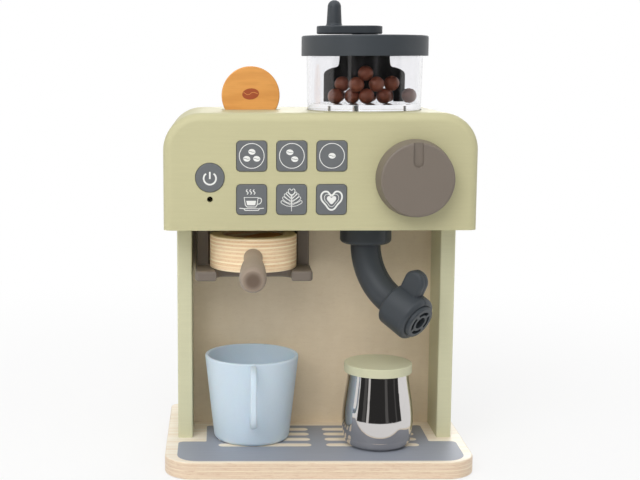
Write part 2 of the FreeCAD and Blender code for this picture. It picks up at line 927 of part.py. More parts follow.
def stirrer():
    """Upright paddle with an arch through it and a round hub, hung from the crank's spindle."""
    bottom = jar_inside + stirrer_lift
    shoulder = bottom + stirrer_shoulder_height
    top = jar_top - part_gap - 1
    neck_z = top - 6
    half = stirrer_half_width
    neck = stirrer_neck
    y = hopper_y - stirrer_thickness / 2
    middle_x = (half + neck) / 2 + 0.3
    middle_z = (shoulder + neck_z) / 2 - 2.5

    def right_side(sign):
        curve = Part.BSplineCurve()
        points = [(half, shoulder), (half - 2.4, shoulder + 3.6), (middle_x - 1.6, middle_z), (neck, neck_z)]
        vectors = [V(hopper_x + sign * a, y, b) for a, b in points]
        curve.interpolate(vectors, InitialTangent=UP, FinalTangent=UP)
        return curve.toShape()

    def line(start, end):
        return Part.makeLine(V(hopper_x + start[0], y, start[1]), V(hopper_x + end[0], y, end[1]))

    edges = [
        line((-half, bottom), (half, bottom)),
        line((half, bottom), (half, shoulder)), right_side(1),
        line((neck, neck_z), (neck, top)), line((neck, top), (-neck, top)),
        line((-neck, top), (-neck, neck_z)), right_side(-1), line((-half, shoulder), (-half, bottom)),
    ]
    wire = Part.Wire(Part.__sortEdges__(edges))
    blade = Part.Face(wire).extrude(V(0, stirrer_thickness, 0))
    arch_half = half - stirrer_leg
    arch = plate(
        (hopper_x - arch_half, bottom - 1), (hopper_x + arch_half, bottom + stirrer_arch_height),
        (0, 0, arch_half / 2, arch_half / 2), y - 1, stirrer_thickness + 2,
    )
    blade = blade.cut(arch)
    hub_foot = jar_inside + stirrer_hub_lift
    hub = rod(stirrer_hub_radius, (hopper_x, hopper_y, hub_foot), UP, top - hub_foot)
    hub = soften(hub, stirrer_edge, at_level(hub_foot, 2))
    solid = blade.fuse(hub).removeSplitter()
    return drilled(solid, crank_screw_kind(), crank_screw_place())


def bean_places():
    """Resting places of the beans from the hopper's axis, in bean radii: right, back, and up."""
    return [
        (-4.09, -3.58, 0.0), (-1.96, -3.58, 0.0), (-0.21, -4.64, 0.0), (2.15, -3.58, 0.0),
        (5.75, -1.51, 0.0), (-3.17, -2.64, 1.55), (-1.55, -4.91, 1.51), (1.06, -4.45, 1.55),
        (3.21, -3.02, 1.62), (-0.28, -3.89, 2.94), (-0.94, 3.96, 0.0), (1.32, 3.77, 0.0),
        (-3.21, 3.02, 0.0), (3.58, 2.83, 0.0),
    ]


def beans():
    """Loose round beans heaped on the jar's floor."""
    floor = jar_inside + bean_radius + part_gap
    axis = V(hopper_x, hopper_y, floor)
    return group([Part.makeSphere(bean_radius, axis + V(*place) * bean_radius) for place in bean_places()])


# Steam wand; built along +X at the origin's upright axis, then turned and set in place

def in_wand_place(shape):
    """Wand shape turned and moved to its place under the head."""
    copy = shape.copy()
    copy.rotate(V(0, 0, 0), UP, wand_turn)
    copy.translate(V(wand_x, wand_y, 0))
    return copy


def bend_end():
    """End point and direction of the wand's pipe."""
    angle = math.radians(bend_angle)
    direction = V(math.sin(angle), 0, -math.cos(angle))
    point = V(bend_radius * (1 - math.cos(angle)), 0, collar_bottom - bend_radius * math.sin(angle))
    return point + direction * bend_tail, direction


def bent_bar(radius):
    """Round bar along the pipe's bend and its short tail."""
    disc = Part.Face(Part.Wire(Part.makeCircle(radius, V(0, 0, collar_bottom), UP)))
    bend = disc.revolve(V(bend_radius, 0, collar_bottom), V(0, 1, 0), -bend_angle)
    end, direction = bend_end()
    tail = rod(radius, end - direction * bend_tail, direction, bend_tail)
    return bend.fuse(tail)


def wand_screw_places():
    """Screws across the wand's seam: one in the collar and one in the bend."""
    angle = math.radians(0.5 * bend_angle)
    bend_x = bend_radius * (1 - math.cos(angle))
    bend_z = collar_bottom - bend_radius * math.sin(angle)
    collar_x = -(pipe_bore + collar_radius) / 2
    return [((collar_x, 5, collar_bottom + collar_height / 2), FRONT), ((bend_x, 5, bend_z), FRONT)]


def screw_wells(places, radius, reach):
    """Round wells that let the screws in from behind."""
    return [rod(radius, point, BACK, reach) for point, _ in places]


def seam_groove(core):
    """Shallow groove along the seam, everywhere outside a core a little smaller than the body."""
    reach = 200
    return box((-reach, -seam_width / 2, -reach), (reach, seam_width / 2, 2 * reach)).cut(core)


def wand_seam(neck_top):
    """Groove along the seam of collar and pipe; neck and spigot stay whole."""
    floor = collar_bottom + seam_depth
    collar = rod(collar_radius - seam_depth, (0, 0, floor), UP, neck_top - floor)
    collar = soften(collar, collar_edge - seam_depth, at_level(floor, 2))
    end, direction = bend_end()
    spigot = rod(spigot_radius + 1, end - direction, direction, spigot_reach() + 2)
    return seam_groove(collar.fuse([bent_bar(pipe_radius - seam_depth), spigot]))


def wand_body():
    """Whole wand: collar, neck, hollow pipe and spigot, before it is split."""
    collar = rod(collar_radius, (0, 0, collar_bottom), UP, collar_height)
    collar = soften(collar, collar_edge, at_level(collar_bottom, 2))
    neck_top = floor_top + neck_reach + clip_thickness
    neck = rod(neck_radius, (0, 0, collar_top), UP, neck_top - collar_top)
    end, direction = bend_end()
    spigot = rod(spigot_radius, end - direction, direction, spigot_reach() + 1)
    solid = collar.fuse([neck, bent_bar(pipe_radius), spigot])
    upper_bore = rod(neck_bore, (0, 0, collar_bottom + 5), UP, neck_top)
    lower_bore = rod(pipe_bore, (0, 0, collar_bottom), UP, 6)
    tip_bore = rod(spigot_bore, end - direction * 2, direction, spigot_reach() + 3)
    groove_z = floor_top + part_gap
    groove = rod(neck_radius + 1, (0, 0, groove_z), UP, clip_thickness)
    groove = groove.cut(rod(neck_radius - clip_groove, (0, 0, groove_z), UP, clip_thickness))
    end_cap = rod(pipe_radius, end - direction * 2, direction, 2)
    solid = solid.cut([upper_bore, lower_bore, bent_bar(pipe_bore), groove])
    boss_at = wand_screw_places()[1][0]
    boss = rod(3.4, (boss_at[0], -pipe_bore - 1, boss_at[2]), BACK, 2 * pipe_bore + 2)
    solid = solid.fuse([boss, end_cap]).cut(tip_bore)
    shank, head, _ = small_screw
    solid = solid.cut(screw_wells(wand_screw_places(), head + 0.3, collar_radius) + [wand_seam(neck_top)])
    return drilled(solid, small_screw, wand_screw_places())


def spigot_reach():
    """Length of the spigot that the tap head turns on."""
    return tap_length + part_gap - tip_seat + part_gap


def half_space(side):
    """Big block at one side of the seam, -1 for the front half and 1 for the rear half."""
    reach = 200
    low, high = sorted((0, side * reach))
    return box((-reach, low, -reach), (reach, high, 2 * reach))


def wand_half(side):
    """One half shell of the wand."""
    return in_wand_place(wand_body().common(half_space(side)))


def wand_screws():
    """Screws that join the wand's halves."""
    return in_wand_place(screws(small_screw, wand_screw_places()))


def wand_clip():
    """Ring in the neck's groove that keeps the wand in the head's floor, open at one side."""
    start = (0, 0, floor_top + part_gap)
    ring = rod(clip_radius, start, UP, clip_thickness)
    ring = ring.cut(rod(neck_radius - clip_groove + screw_gap, start, UP, clip_thickness))
    mouth = neck_radius - clip_groove - 1
    gap = box((0, -mouth, start[2] - 1), (clip_radius + 1, mouth, start[2] + clip_thickness + 1))
    return in_wand_place(ring.cut(gap))


def in_tap_place(shape):
    """Shape built along +Z moved onto the pipe's end; its -X side becomes the upper side."""
    end, direction = bend_end()
    return in_wand_place(placed(shape, end, direction))


def tap_screw_places():
    """Screws across the tap head's seam: one in the tab and one below."""
    y = tab_thickness / 2 - 1.2
    return [((-tab_height + 8.5, y, tab_centre), FRONT), ((tap_radius - 4.2, y, tab_centre), FRONT)]


def tap_tab(inset):
    """Outline of the thumb tab, in from the outside by an inset, stretched to its thickness."""
    half = tab_width / 2 - inset
    face = rounded_face((-tab_height + inset, tab_centre - half), (-tap_radius + 4, tab_centre + half),
                        (half - 0.2, 0, 0, half - 0.2), lambda x, z: V(x, -tab_thickness / 2, z))
    return face.extrude(V(0, tab_thickness, 0))


def tap_ring(profile, inset):
    """Ring turned from a profile, its outer edges rounded to suit an inset."""
    ring = turned(profile, (0, 0, 0))
    diameter = 2 * (tap_radius - inset)
    for level, radius in ((part_gap + tap_length - inset, tap_front_edge), (part_gap + inset, tap_back_edge)):
        ring = soften(ring, radius - inset, lambda edge: at_level(level, 2)(edge)
                      and edge.BoundBox.XLength > diameter - 0.1)
    return ring


def tap_seam():
    """Groove along the tap head's seam."""
    low = part_gap + seam_depth
    high = part_gap + tap_length - seam_depth
    radius = tap_radius - seam_depth
    core = tap_ring([(0, low), (radius, low), (radius, high), (0, high)], seam_depth)
    return seam_groove(core.fuse(tap_tab(seam_depth)))


def tap_body():
    """Turning tap head before it is split: thick ring with a thumb tab on top."""
    bore = spigot_radius + running_gap
    seat = tip_radius + 0.4
    seat_floor = part_gap + tap_length - tip_seat
    profile = [
        (bore, part_gap), (tap_radius, part_gap), (tap_radius, part_gap + tap_length),
        (seat, part_gap + tap_length), (seat, seat_floor), (bore, seat_floor),
    ]
    tab = soften(tap_tab(0), tab_edge, lambda edge: edge.BoundBox.YLength < 0.01
                 and edge.BoundBox.XMin < -tap_radius and edge.BoundBox.XLength > 0.01)
    solid = tap_ring(profile, 0).fuse(tab).removeSplitter()
    shank, head, _ = short_screw
    solid = solid.cut(screw_wells(tap_screw_places(), head + 0.3, tap_radius) + [tap_seam()])
    return drilled(solid, short_screw, tap_screw_places())


def tap_half(side):
    """One half shell of the tap head."""
    return in_tap_place(tap_body().common(half_space(side)))


def tap_screws():
    """Screws that join the tap head's halves."""
    return in_tap_place(screws(short_screw, tap_screw_places()))


def nozzle_tip():
    """Slotted disc on the spigot's end that keeps the tap head on."""
    start = spigot_reach()
    disc = Part.makeCylinder(tip_radius, tip_length, V(0, 0, start))
    front = start + tip_length
    disc = soften(disc, 1.2, at_level(front, 2))
    ring = Part.makeCylinder(tip_slot_outer, tip_slot_depth + 1, V(0, 0, front - tip_slot_depth))
    ring = ring.cut(Part.makeCylinder(tip_slot_inner, tip_slot_depth + 1, V(0, 0, front - tip_slot_depth)))
    half = tip_spoke / 2
    low = front - tip_slot_depth - 1
    high = front + 2
    spokes = box((-tip_radius, -half, low), (tip_radius, half, high))
    spokes = spokes.fuse(box((-half, -tip_radius, low), (half, tip_radius, high)))
    spokes.rotate(V(0, 0, 0), UP, 45)
    hole = Part.makeCylinder(tip_hole_radius, tip_length - 1.5, V(0, 0, start + 1.5))
    jet = Part.makeCylinder(spigot_bore, tip_length, V(0, 0, start - 1))
    return in_tap_place(disc.cut([ring.cut(spokes), hole, jet]))


# Filter holder and bracket

def bracket():
    """U-shaped rail under the head: two walls, and a floor that is open in the middle of its front."""
    half = bracket_width / 2
    left = bracket_x - half
    right = bracket_x + half
    bottom = ledge_z - bracket_floor
    wall_front = bracket_front_y + bracket_ledge
    floor = slab((left, bracket_front_y), (right, bracket_back_y), (3, 3, 0.5, 0.5), bottom, bracket_floor)
    throat_half = half - bracket_arm_width
    throat_back = bracket_front_y + bracket_throat_depth
    throat = slab((bracket_x - throat_half, bracket_front_y - 10), (bracket_x + throat_half, throat_back),
                  (0, 0, 8, 8), bottom - 1, bracket_floor + 2)
    floor = floor.cut(throat)
    floor = soften(floor, bracket_edge, lambda edge: at_level(bottom, 2)(edge) or at_level(ledge_z, 2)(edge)
                   and edge.BoundBox.YMax < wall_front)
    walls = []
    for side in (-1, 1):
        outer = bracket_x + side * (half - 0.6)
        inner = outer - side * bracket_wall
        low, high = sorted((outer, inner))
        wall = box((low, wall_front, ledge_z - 2), (high, bracket_back_y, head_bottom))
        walls.append(soften(wall, bracket_edge, lambda edge: edge.BoundBox.ZLength > 5
                            and edge.BoundBox.YMax < wall_front + 1))
    solid = floor.fuse(walls).removeSplitter()
    return drilled(solid, thin_screw, bracket_screw_places())


def handle_screw_kind():
    """Screw from inside the cup into the handle."""
    shank, head, _ = wood_screw
    return (shank, head, 26.0)


def cup_bore():
    """Radius of the cup's hollow, which a pod fits."""
    return pod_radius + cup_bore_play


def handle_screw_place():
    """Handle screw's head lies in the wall of the cup's hollow."""
    y = cup_y - cup_bore() - 1.2
    return [((cup_x, y, handle_z), FRONT)]


def in_holder_place(shape):
    """Filter holder's shape, turned a little in its round rail."""
    copy = shape.copy()
    copy.rotate(V(cup_x, cup_y, 0), UP, holder_turn)
    return copy


def filter_cup():
    """Laminated drum with a round hollow for a pod."""
    cup = rod(cup_radius, (cup_x, cup_y, cup_z), UP, cup_height)
    cup = soften(cup, cup_edge, any_of(at_level(cup_z, 2), at_level(cup_z + cup_height, 2)))
    hollow = rod(cup_bore(), (cup_x, cup_y, cup_z + cup_floor), UP, cup_height)
    cup = cup.cut(hollow)
    cup = soften(cup, 0.6, lambda edge: at_level(cup_z + cup_height, 2)(edge)
                 and edge.BoundBox.XLength < 2 * cup_bore() + 0.1)
    seat_y = cup_y - cup_radius + handle_spigot
    seat = rod(handle_root_radius + screw_gap, (cup_x, seat_y, handle_z), FRONT, handle_spigot + 5)
    access = rod(wood_screw[1] + 0.4, (cup_x, cup_y, handle_z), FRONT, cup_bore() + 1.2)
    cup = cup.cut([seat, access])
    return in_holder_place(drilled(cup, handle_screw_kind(), handle_screw_place()))


def filter_handle_screw():
    """Screw that holds the handle on the cup."""
    return in_holder_place(screws(handle_screw_kind(), handle_screw_place()))


def filter_handle():
    """Handle that swells towards a flat-ended bulb."""
    root = cup_y - cup_radius + handle_spigot
    length = handle_length + handle_spigot
    bulb = length - handle_bulb_back
    curve = Part.BSplineCurve()
    middle_radius = (handle_root_radius + handle_bulb_radius) / 2
    side = [(handle_root_radius, handle_spigot), (middle_radius, (handle_spigot + bulb) / 2),
            (handle_bulb_radius, bulb), (handle_end_radius + 0.9, length - 1.4), (handle_end_radius, length)]
    curve.interpolate([V(radius, 0, z) for radius, z in side])
    edges = [
        curve.toShape(), Part.makeLine(V(handle_end_radius, 0, length), V(0, 0, length)),
        Part.makeLine(V(0, 0, length), V(0, 0, 0)), Part.makeLine(V(0, 0, 0), V(handle_root_radius, 0, 0)),
        Part.makeLine(V(handle_root_radius, 0, 0), V(handle_root_radius, 0, handle_spigot)),
    ]
    face = Part.Face(Part.Wire(Part.__sortEdges__(edges)))
    handle = placed(face.revolve(V(0, 0, 0), UP, 360), (cup_x, root, handle_z), FRONT)
    return in_holder_place(drilled(handle, handle_screw_kind(), handle_screw_place()))


def cup_pod():
    """Pod that leans in the cup, one edge on its floor."""
    lean = math.radians(pod_lean)
    rise = pod_radius * math.sin(lean) + pod_thickness / 2 * math.cos(lean)
    centre = (cup_x, cup_y, cup_z + cup_floor + rise + 0.2)
    return placed(pod(), centre, V(-math.sin(lean) * 0.9, -math.sin(lean) * 0.44, math.cos(lean)))


# Mug, milk jug and its lid, standing in the bay

def mug():
    """Tapered mug with a band handle towards the front."""
    z0 = base_thickness
    z1 = z0 + mug_height
    slope = (mug_rim_radius - mug_foot_radius) / mug_height
    inner_foot = mug_foot_radius + slope * mug_floor - mug_wall
    outer = turned([(0, z0), (mug_foot_radius, z0), (mug_rim_radius, z1), (0, z1)], (mug_x, mug_y, 0))
    outer = soften(outer, mug_foot_edge, at_level(z0, 2))
    inner = turned([(0, z0 + mug_floor), (inner_foot, z0 + mug_floor), (mug_rim_radius - mug_wall, z1),
                    (mug_rim_radius - mug_wall, z1 + 1), (0, z1 + 1)], (mug_x, mug_y, 0))
    inner = soften(inner, mug_foot_edge, at_level(z0 + mug_floor, 2))
    half = mug_handle_width / 2
    low = z0 + mug_handle_low
    high = z0 + mug_handle_high
    front = mug_y - mug_rim_radius - mug_handle_reach
    root = mug_y - mug_foot_radius + 2
    radius = 15.0
    band = mug_handle_band

    def loop(inset):
        face = rounded_face((front + inset, low + inset), (root, high - inset),
                            (radius - inset, 0, 0, radius - inset), lambda y, z: V(mug_x - half, y, z))
        return face.extrude(V(mug_handle_width, 0, 0))

    handle = loop(0).cut(loop(band))
    handle = soften(handle, 1.6, lambda edge: edge.BoundBox.XLength < 0.01
                    and edge.BoundBox.YMin < mug_y - mug_rim_radius - 1)
    solid = outer.fuse(handle).cut(inner).removeSplitter()
    return soften(solid, mug_wall / 2 - 0.15, lambda edge: at_level(z1, 2)(edge) and edge.Closed)


def jug_side(inset):
    """Curve of the jug's side from foot to mouth, in from the outside by an inset."""
    z0 = base_thickness
    points = [
        (0.95 * jug_belly_radius - inset, z0 + 6.5), (jug_belly_radius - inset, z0 + 0.46 * jug_height),
        (0.9 * jug_belly_radius - inset, z0 + 0.81 * jug_height), (jug_mouth_radius - inset, z0 + jug_height),
    ]
    curve = Part.BSplineCurve()
    curve.interpolate([V(radius, 0, z) for radius, z in points])
    return curve.toShape(), V(points[0][0], 0, points[0][1]), V(points[-1][0], 0, points[-1][1])


def jug():
    """Bellied steel jug with a thin wall."""
    z0 = base_thickness
    outer, outer_low, outer_high = jug_side(0)
    inner, inner_low, inner_high = jug_side(jug_wall)
    foot = V(jug_foot_radius, 0, z0)
    foot_in = V(jug_foot_radius - jug_wall, 0, z0 + jug_wall)
    bulge = V(jug_foot_radius + 3.6, 0, z0 + 2.3)
    bulge_in = V(jug_foot_radius + 3.6 - jug_wall, 0, z0 + 2.3 + 0.6 * jug_wall)
    edges = [
        Part.makeLine(V(0, 0, z0), foot), Part.Arc(foot, bulge, outer_low).toShape(), outer,
        Part.makeLine(outer_high, inner_high), inner, Part.Arc(inner_low, bulge_in, foot_in).toShape(),
        Part.makeLine(foot_in, V(0, 0, z0 + jug_wall)), Part.makeLine(V(0, 0, z0 + jug_wall), V(0, 0, z0)),
    ]
    face = Part.Face(Part.Wire(Part.__sortEdges__(edges)))
    return placed(face.revolve(V(0, 0, 0), UP, 360), (jug_x, jug_y, 0))


def jug_lid():
    """Flat wooden lid with a plug that drops into the jug's mouth."""
    z = base_thickness + jug_height
    plug = jug_mouth_radius - jug_wall - 3 * part_gap
    profile = [
        (0, z - jug_plug_depth), (plug, z - jug_plug_depth), (plug, z), (jug_lid_radius, z),
        (jug_lid_radius, z + jug_lid_thickness), (0, z + jug_lid_thickness),
    ]
    lid = turned(profile, (jug_x, jug_y, 0))
    return soften(lid, jug_lid_edge, at_level(z + jug_lid_thickness, 2))


def all_parts():
    """Every node's name and shape."""
    parts = {
        "base_board": base_board(),
        "left_side_panel": side_panel(-1),
        "right_side_panel": side_panel(1),
        "back_panel": back_panel(),
        "base_screws": screws(wood_screw, base_screw_places()),
        "back_panel_screws": screws(thin_screw, back_panel_screw_places()),
        "head_screws": screws(wood_screw, head_screw_places()),
        "front_panel": front_panel(),
        "front_panel_dowels": group(dowel_bars(0)),
        "head_shell": head_shell(),
        "head_floor": head_floor(),
        "rear_cover": rear_cover(),
        "rear_cover_screws": screws(cover_screw, rear_screw_places()),
        "battery_door": battery_door(),
        "battery_door_screw": screws(short_screw, door_screw_place()),
        "battery_box": battery_box(),
        "batteries": batteries(),
        "circuit_board": circuit_board(),
        "board_screws": screws(board_screw_kind(), board_screw_places()),
        "board_spacers": board_spacers(),
        "key_switches": key_switches(),
        "indicator_lamp": indicator_lamp(),
        "speaker": speaker(),
        "power_button": power_button(),
        "selector_knob": selector_knob(),
        "knob_shaft": knob_shaft(),
        "knob_retainer": knob_retainer(),
        "knob_washer": knob_washer(),
        "slot_pod": slot_pod(),
        "pod_holder": pod_holder(),
        "hopper_jar": hopper_jar(),
        "hopper_lid": hopper_lid(),
        "jar_screws": screws(jar_screw_kind(), jar_screw_places()),
        "crank": crank(),
        "crank_screw": screws(crank_screw_kind(), crank_screw_place()),
        "stirrer": stirrer(),
        "beans": beans(),
        "wand_front_half": wand_half(-1),
        "wand_rear_half": wand_half(1),
        "wand_screws": wand_screws(),
        "wand_clip": wand_clip(),
        "tap_front_half": tap_half(-1),
        "tap_rear_half": tap_half(1),
        "tap_screws": tap_screws(),
        "nozzle_tip": nozzle_tip(),
        "bracket": bracket(),
        "bracket_screws": screws(thin_screw, bracket_screw_places()),
        "filter_cup": filter_cup(),
        "filter_handle": filter_handle(),
        "filter_handle_screw": filter_handle_screw(),
        "cup_pod": cup_pod(),
        "mug": mug(),
        "milk_jug": jug(),
        "milk_jug_lid": jug_lid(),
    }
    for name, centre in button_places().items():
        parts[name] = function_button(centre)
    return parts


os.makedirs("parts", exist_ok=True)
for node, shape in all_parts().items():
    shape.exportStep(f"parts/{node}.step")
    print(f"{node}: {len(shape.Solids)} solids, valid {shape.isValid()}, {shape.Volume / 1000:.2f} cm3")
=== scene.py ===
"""Looks of a toy coffee maker: painted wooden machine, buttons, bean hopper, steam wand, mug and milk jug."""

import logging
import math
from abc import ABC, abstractmethod
from collections.abc import Iterable, Sequence
from dataclasses import dataclass, field
from enum import Enum
from typing import ClassVar

import bmesh
import bpy
from mathutils import Matrix, Vector


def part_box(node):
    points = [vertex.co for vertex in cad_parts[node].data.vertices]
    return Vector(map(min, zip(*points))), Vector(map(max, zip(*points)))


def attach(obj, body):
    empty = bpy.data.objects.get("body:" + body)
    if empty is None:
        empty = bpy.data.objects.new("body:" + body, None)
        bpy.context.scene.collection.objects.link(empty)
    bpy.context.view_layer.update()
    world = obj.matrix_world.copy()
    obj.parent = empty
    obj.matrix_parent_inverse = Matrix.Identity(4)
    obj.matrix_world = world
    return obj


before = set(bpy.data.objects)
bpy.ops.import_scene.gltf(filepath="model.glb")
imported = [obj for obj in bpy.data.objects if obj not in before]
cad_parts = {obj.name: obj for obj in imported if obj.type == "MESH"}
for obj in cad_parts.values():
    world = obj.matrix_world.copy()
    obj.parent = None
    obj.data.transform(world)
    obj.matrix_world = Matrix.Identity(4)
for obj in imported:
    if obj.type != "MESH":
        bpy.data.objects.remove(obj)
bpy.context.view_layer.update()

log = logging.getLogger("coffee_maker")

Colour = tuple[float, float, float, float]
Point = tuple[float, float]
Socket = bpy.types.NodeSocket

MM = 0.001
CIRCLE_HANDLE = 0.5523


def shade(red: int, green: int, blue: int) -> Colour:
    """Linear colour of a paint or dye given in screen values.

    Args:
        red: Red from 0 to 255.
        green: Green from 0 to 255.
        blue: Blue from 0 to 255.

    Returns:
        Linear red, green, blue and an alpha of 1.
    """
    def linear(value: int) -> float:
        """Linear value of one channel."""
        share = value / 255
        return share / 12.92 if share <= 0.04045 else ((share + 0.055) / 1.055) ** 2.4

    return linear(red), linear(green), linear(blue), 1.0


class NodeBoard:
    """Lays out and joins the nodes of one material or one shared effect."""

    def __init__(self, tree: bpy.types.NodeTree) -> None:
        """Starts on an empty node tree."""
        self.tree = tree

    def add(
        self, kind: str, inputs: dict[str | int, object] | None = None, **settings: object
    ) -> bpy.types.Node:
        """Adds a node.

        Args:
            kind: Type name of the node.
            inputs: Input name or number, with a value or a socket to join to it.
            settings: Properties of the node.

        Returns:
            The new node.
        """
        node = self.tree.nodes.new(kind)
        for name, value in settings.items():
            setattr(node, name, value)
        for name, value in (inputs or {}).items():
            self.feed(node.inputs[name], value)
        return node

    def feed(self, target: Socket, value: object) -> None:
        """Joins a socket to an input, or sets the input's own value.

        Args:
            target: Input to feed.
            value: Socket to join to it, or plain value.
        """
        if isinstance(value, Socket):
            self.tree.links.new(value, target)
        else:
            target.default_value = value

    def maths(self, operation: str, *values: object) -> Socket:
        """Result of a maths step on up to three values."""
        node = self.add("ShaderNodeMath", dict(enumerate(values)), operation=operation)
        return node.outputs[0]

    def rest(self, share: Socket) -> Socket:
        """What a share leaves of one."""
        return self.maths("SUBTRACT", 1.0, share)

    def distance(self, first: Socket, second: Socket) -> Socket:
        """Length of a line from its two upright parts."""
        squares = self.maths("ADD", self.maths("POWER", first, 2.0), self.maths("POWER", second, 2.0))
        return self.maths("SQRT", squares)

    def step(self, value: Socket, low: float, high: float, start: object = 0.0, end: object = 1.0) -> Socket:
        """Smooth change from start to end as a value goes from low to high.

        Args:
            value: Value to read.
            low: Value below which the result is start.
            high: Value above which the result is end.
            start: Result on the low side.
            end: Result on the high side.

        Returns:
            The result.
        """
        node = self.add(
            "ShaderNodeMapRange",
            {"Value": value, "From Min": low, "From Max": high, "To Min": start, "To Max": end},
            interpolation_type="SMOOTHSTEP",
        )
        return node.outputs["Result"]

    def mix(self, share: object, first: object, second: object, blend: str = "MIX") -> Socket:
        """Colour mixed from two others by a share of the second."""
        node = self.add("ShaderNodeMix", {0: share, 6: first, 7: second}, data_type="RGBA", blend_type=blend)
        return node.outputs[2]

    def brightened(self, colour: object, factor: Socket) -> Socket:
        """Colour with its brightness times a factor."""
        return self.add("ShaderNodeHueSaturation", {"Color": colour, "Value": factor}).outputs["Color"]

    def clamped(self, value: Socket) -> Socket:
        """Value held between 0 and 1."""
        return self.add("ShaderNodeClamp", {"Value": value}).outputs[0]

    def place(self) -> Socket:
        """Object coordinates, in metres."""
        return self.add("ShaderNodeTexCoord").outputs["Object"]

    def moved(self, centre: Sequence[float]) -> Socket:
        """Object coordinates counted from a centre."""
        shift = tuple(-value for value in centre)
        return self.add("ShaderNodeMapping", {"Vector": self.place(), "Location": shift}).outputs["Vector"]

    def stretched(self, place: Socket, sizes: Sequence[float]) -> Socket:
        """Coordinates divided by a size along each axis.

        Args:
            place: Coordinates.
            sizes: Size along X, Y and Z.

        Returns:
            The divided coordinates.
        """
        inverse = tuple(1 / size for size in sizes)
        node = self.add("ShaderNodeVectorMath", {0: place, 1: inverse}, operation="MULTIPLY")
        return node.outputs[0]

    def noise(self, place: Socket, scale: object, detail: float = 2.0, roughness: float = 0.5) -> Socket:
        """Soft noise from 0 to 1.

        Args:
            place: Coordinates.
            scale: Number of waves to a unit of the coordinates.
            detail: Number of finer layers.
            roughness: Share that each finer layer adds.

        Returns:
            The noise.
        """
        node = self.add(
            "ShaderNodeTexNoise",
            {"Vector": place, "Scale": scale, "Detail": detail, "Roughness": roughness},
        )
        return node.outputs["Fac"]

    def grain(
        self, place: Socket, sizes: Sequence[float], detail: float = 2.0, roughness: float = 0.5
    ) -> Socket:
        """Soft noise stretched to a size along each axis.

        Args:
            place: Coordinates.
            sizes: Size along X, Y and Z.
            detail: Number of finer layers.
            roughness: Share that each finer layer adds.

        Returns:
            The noise.
        """
        return self.noise(self.stretched(place, sizes), 1.0, detail, roughness)

    def swing(self, place: Socket, scale: object, detail: float) -> Socket:
        """Soft noise from -0.5 to 0.5."""
        return self.maths("SUBTRACT", self.noise(place, scale, detail), 0.5)

    def axes(self, place: Socket) -> tuple[Socket, Socket, Socket]:
        """X, Y and Z of a vector."""
        node = self.add("ShaderNodeSeparateXYZ", {0: place})
        return node.outputs[0], node.outputs[1], node.outputs[2]


@dataclass(frozen=True)
class Port:
    """One input of a shared effect."""

    name: str
    value: object
    kind: str = "NodeSocketFloat"


class Effect(Enum):
    """Surface effects that several finishes share."""

    DRIFT = "tone drift"
    SKIN = "moulded skin"
    FILM = "paint film"
    FIGURE = "wood figure"
    PLIES = "ply stack"
    RUBS = "handling rubs"


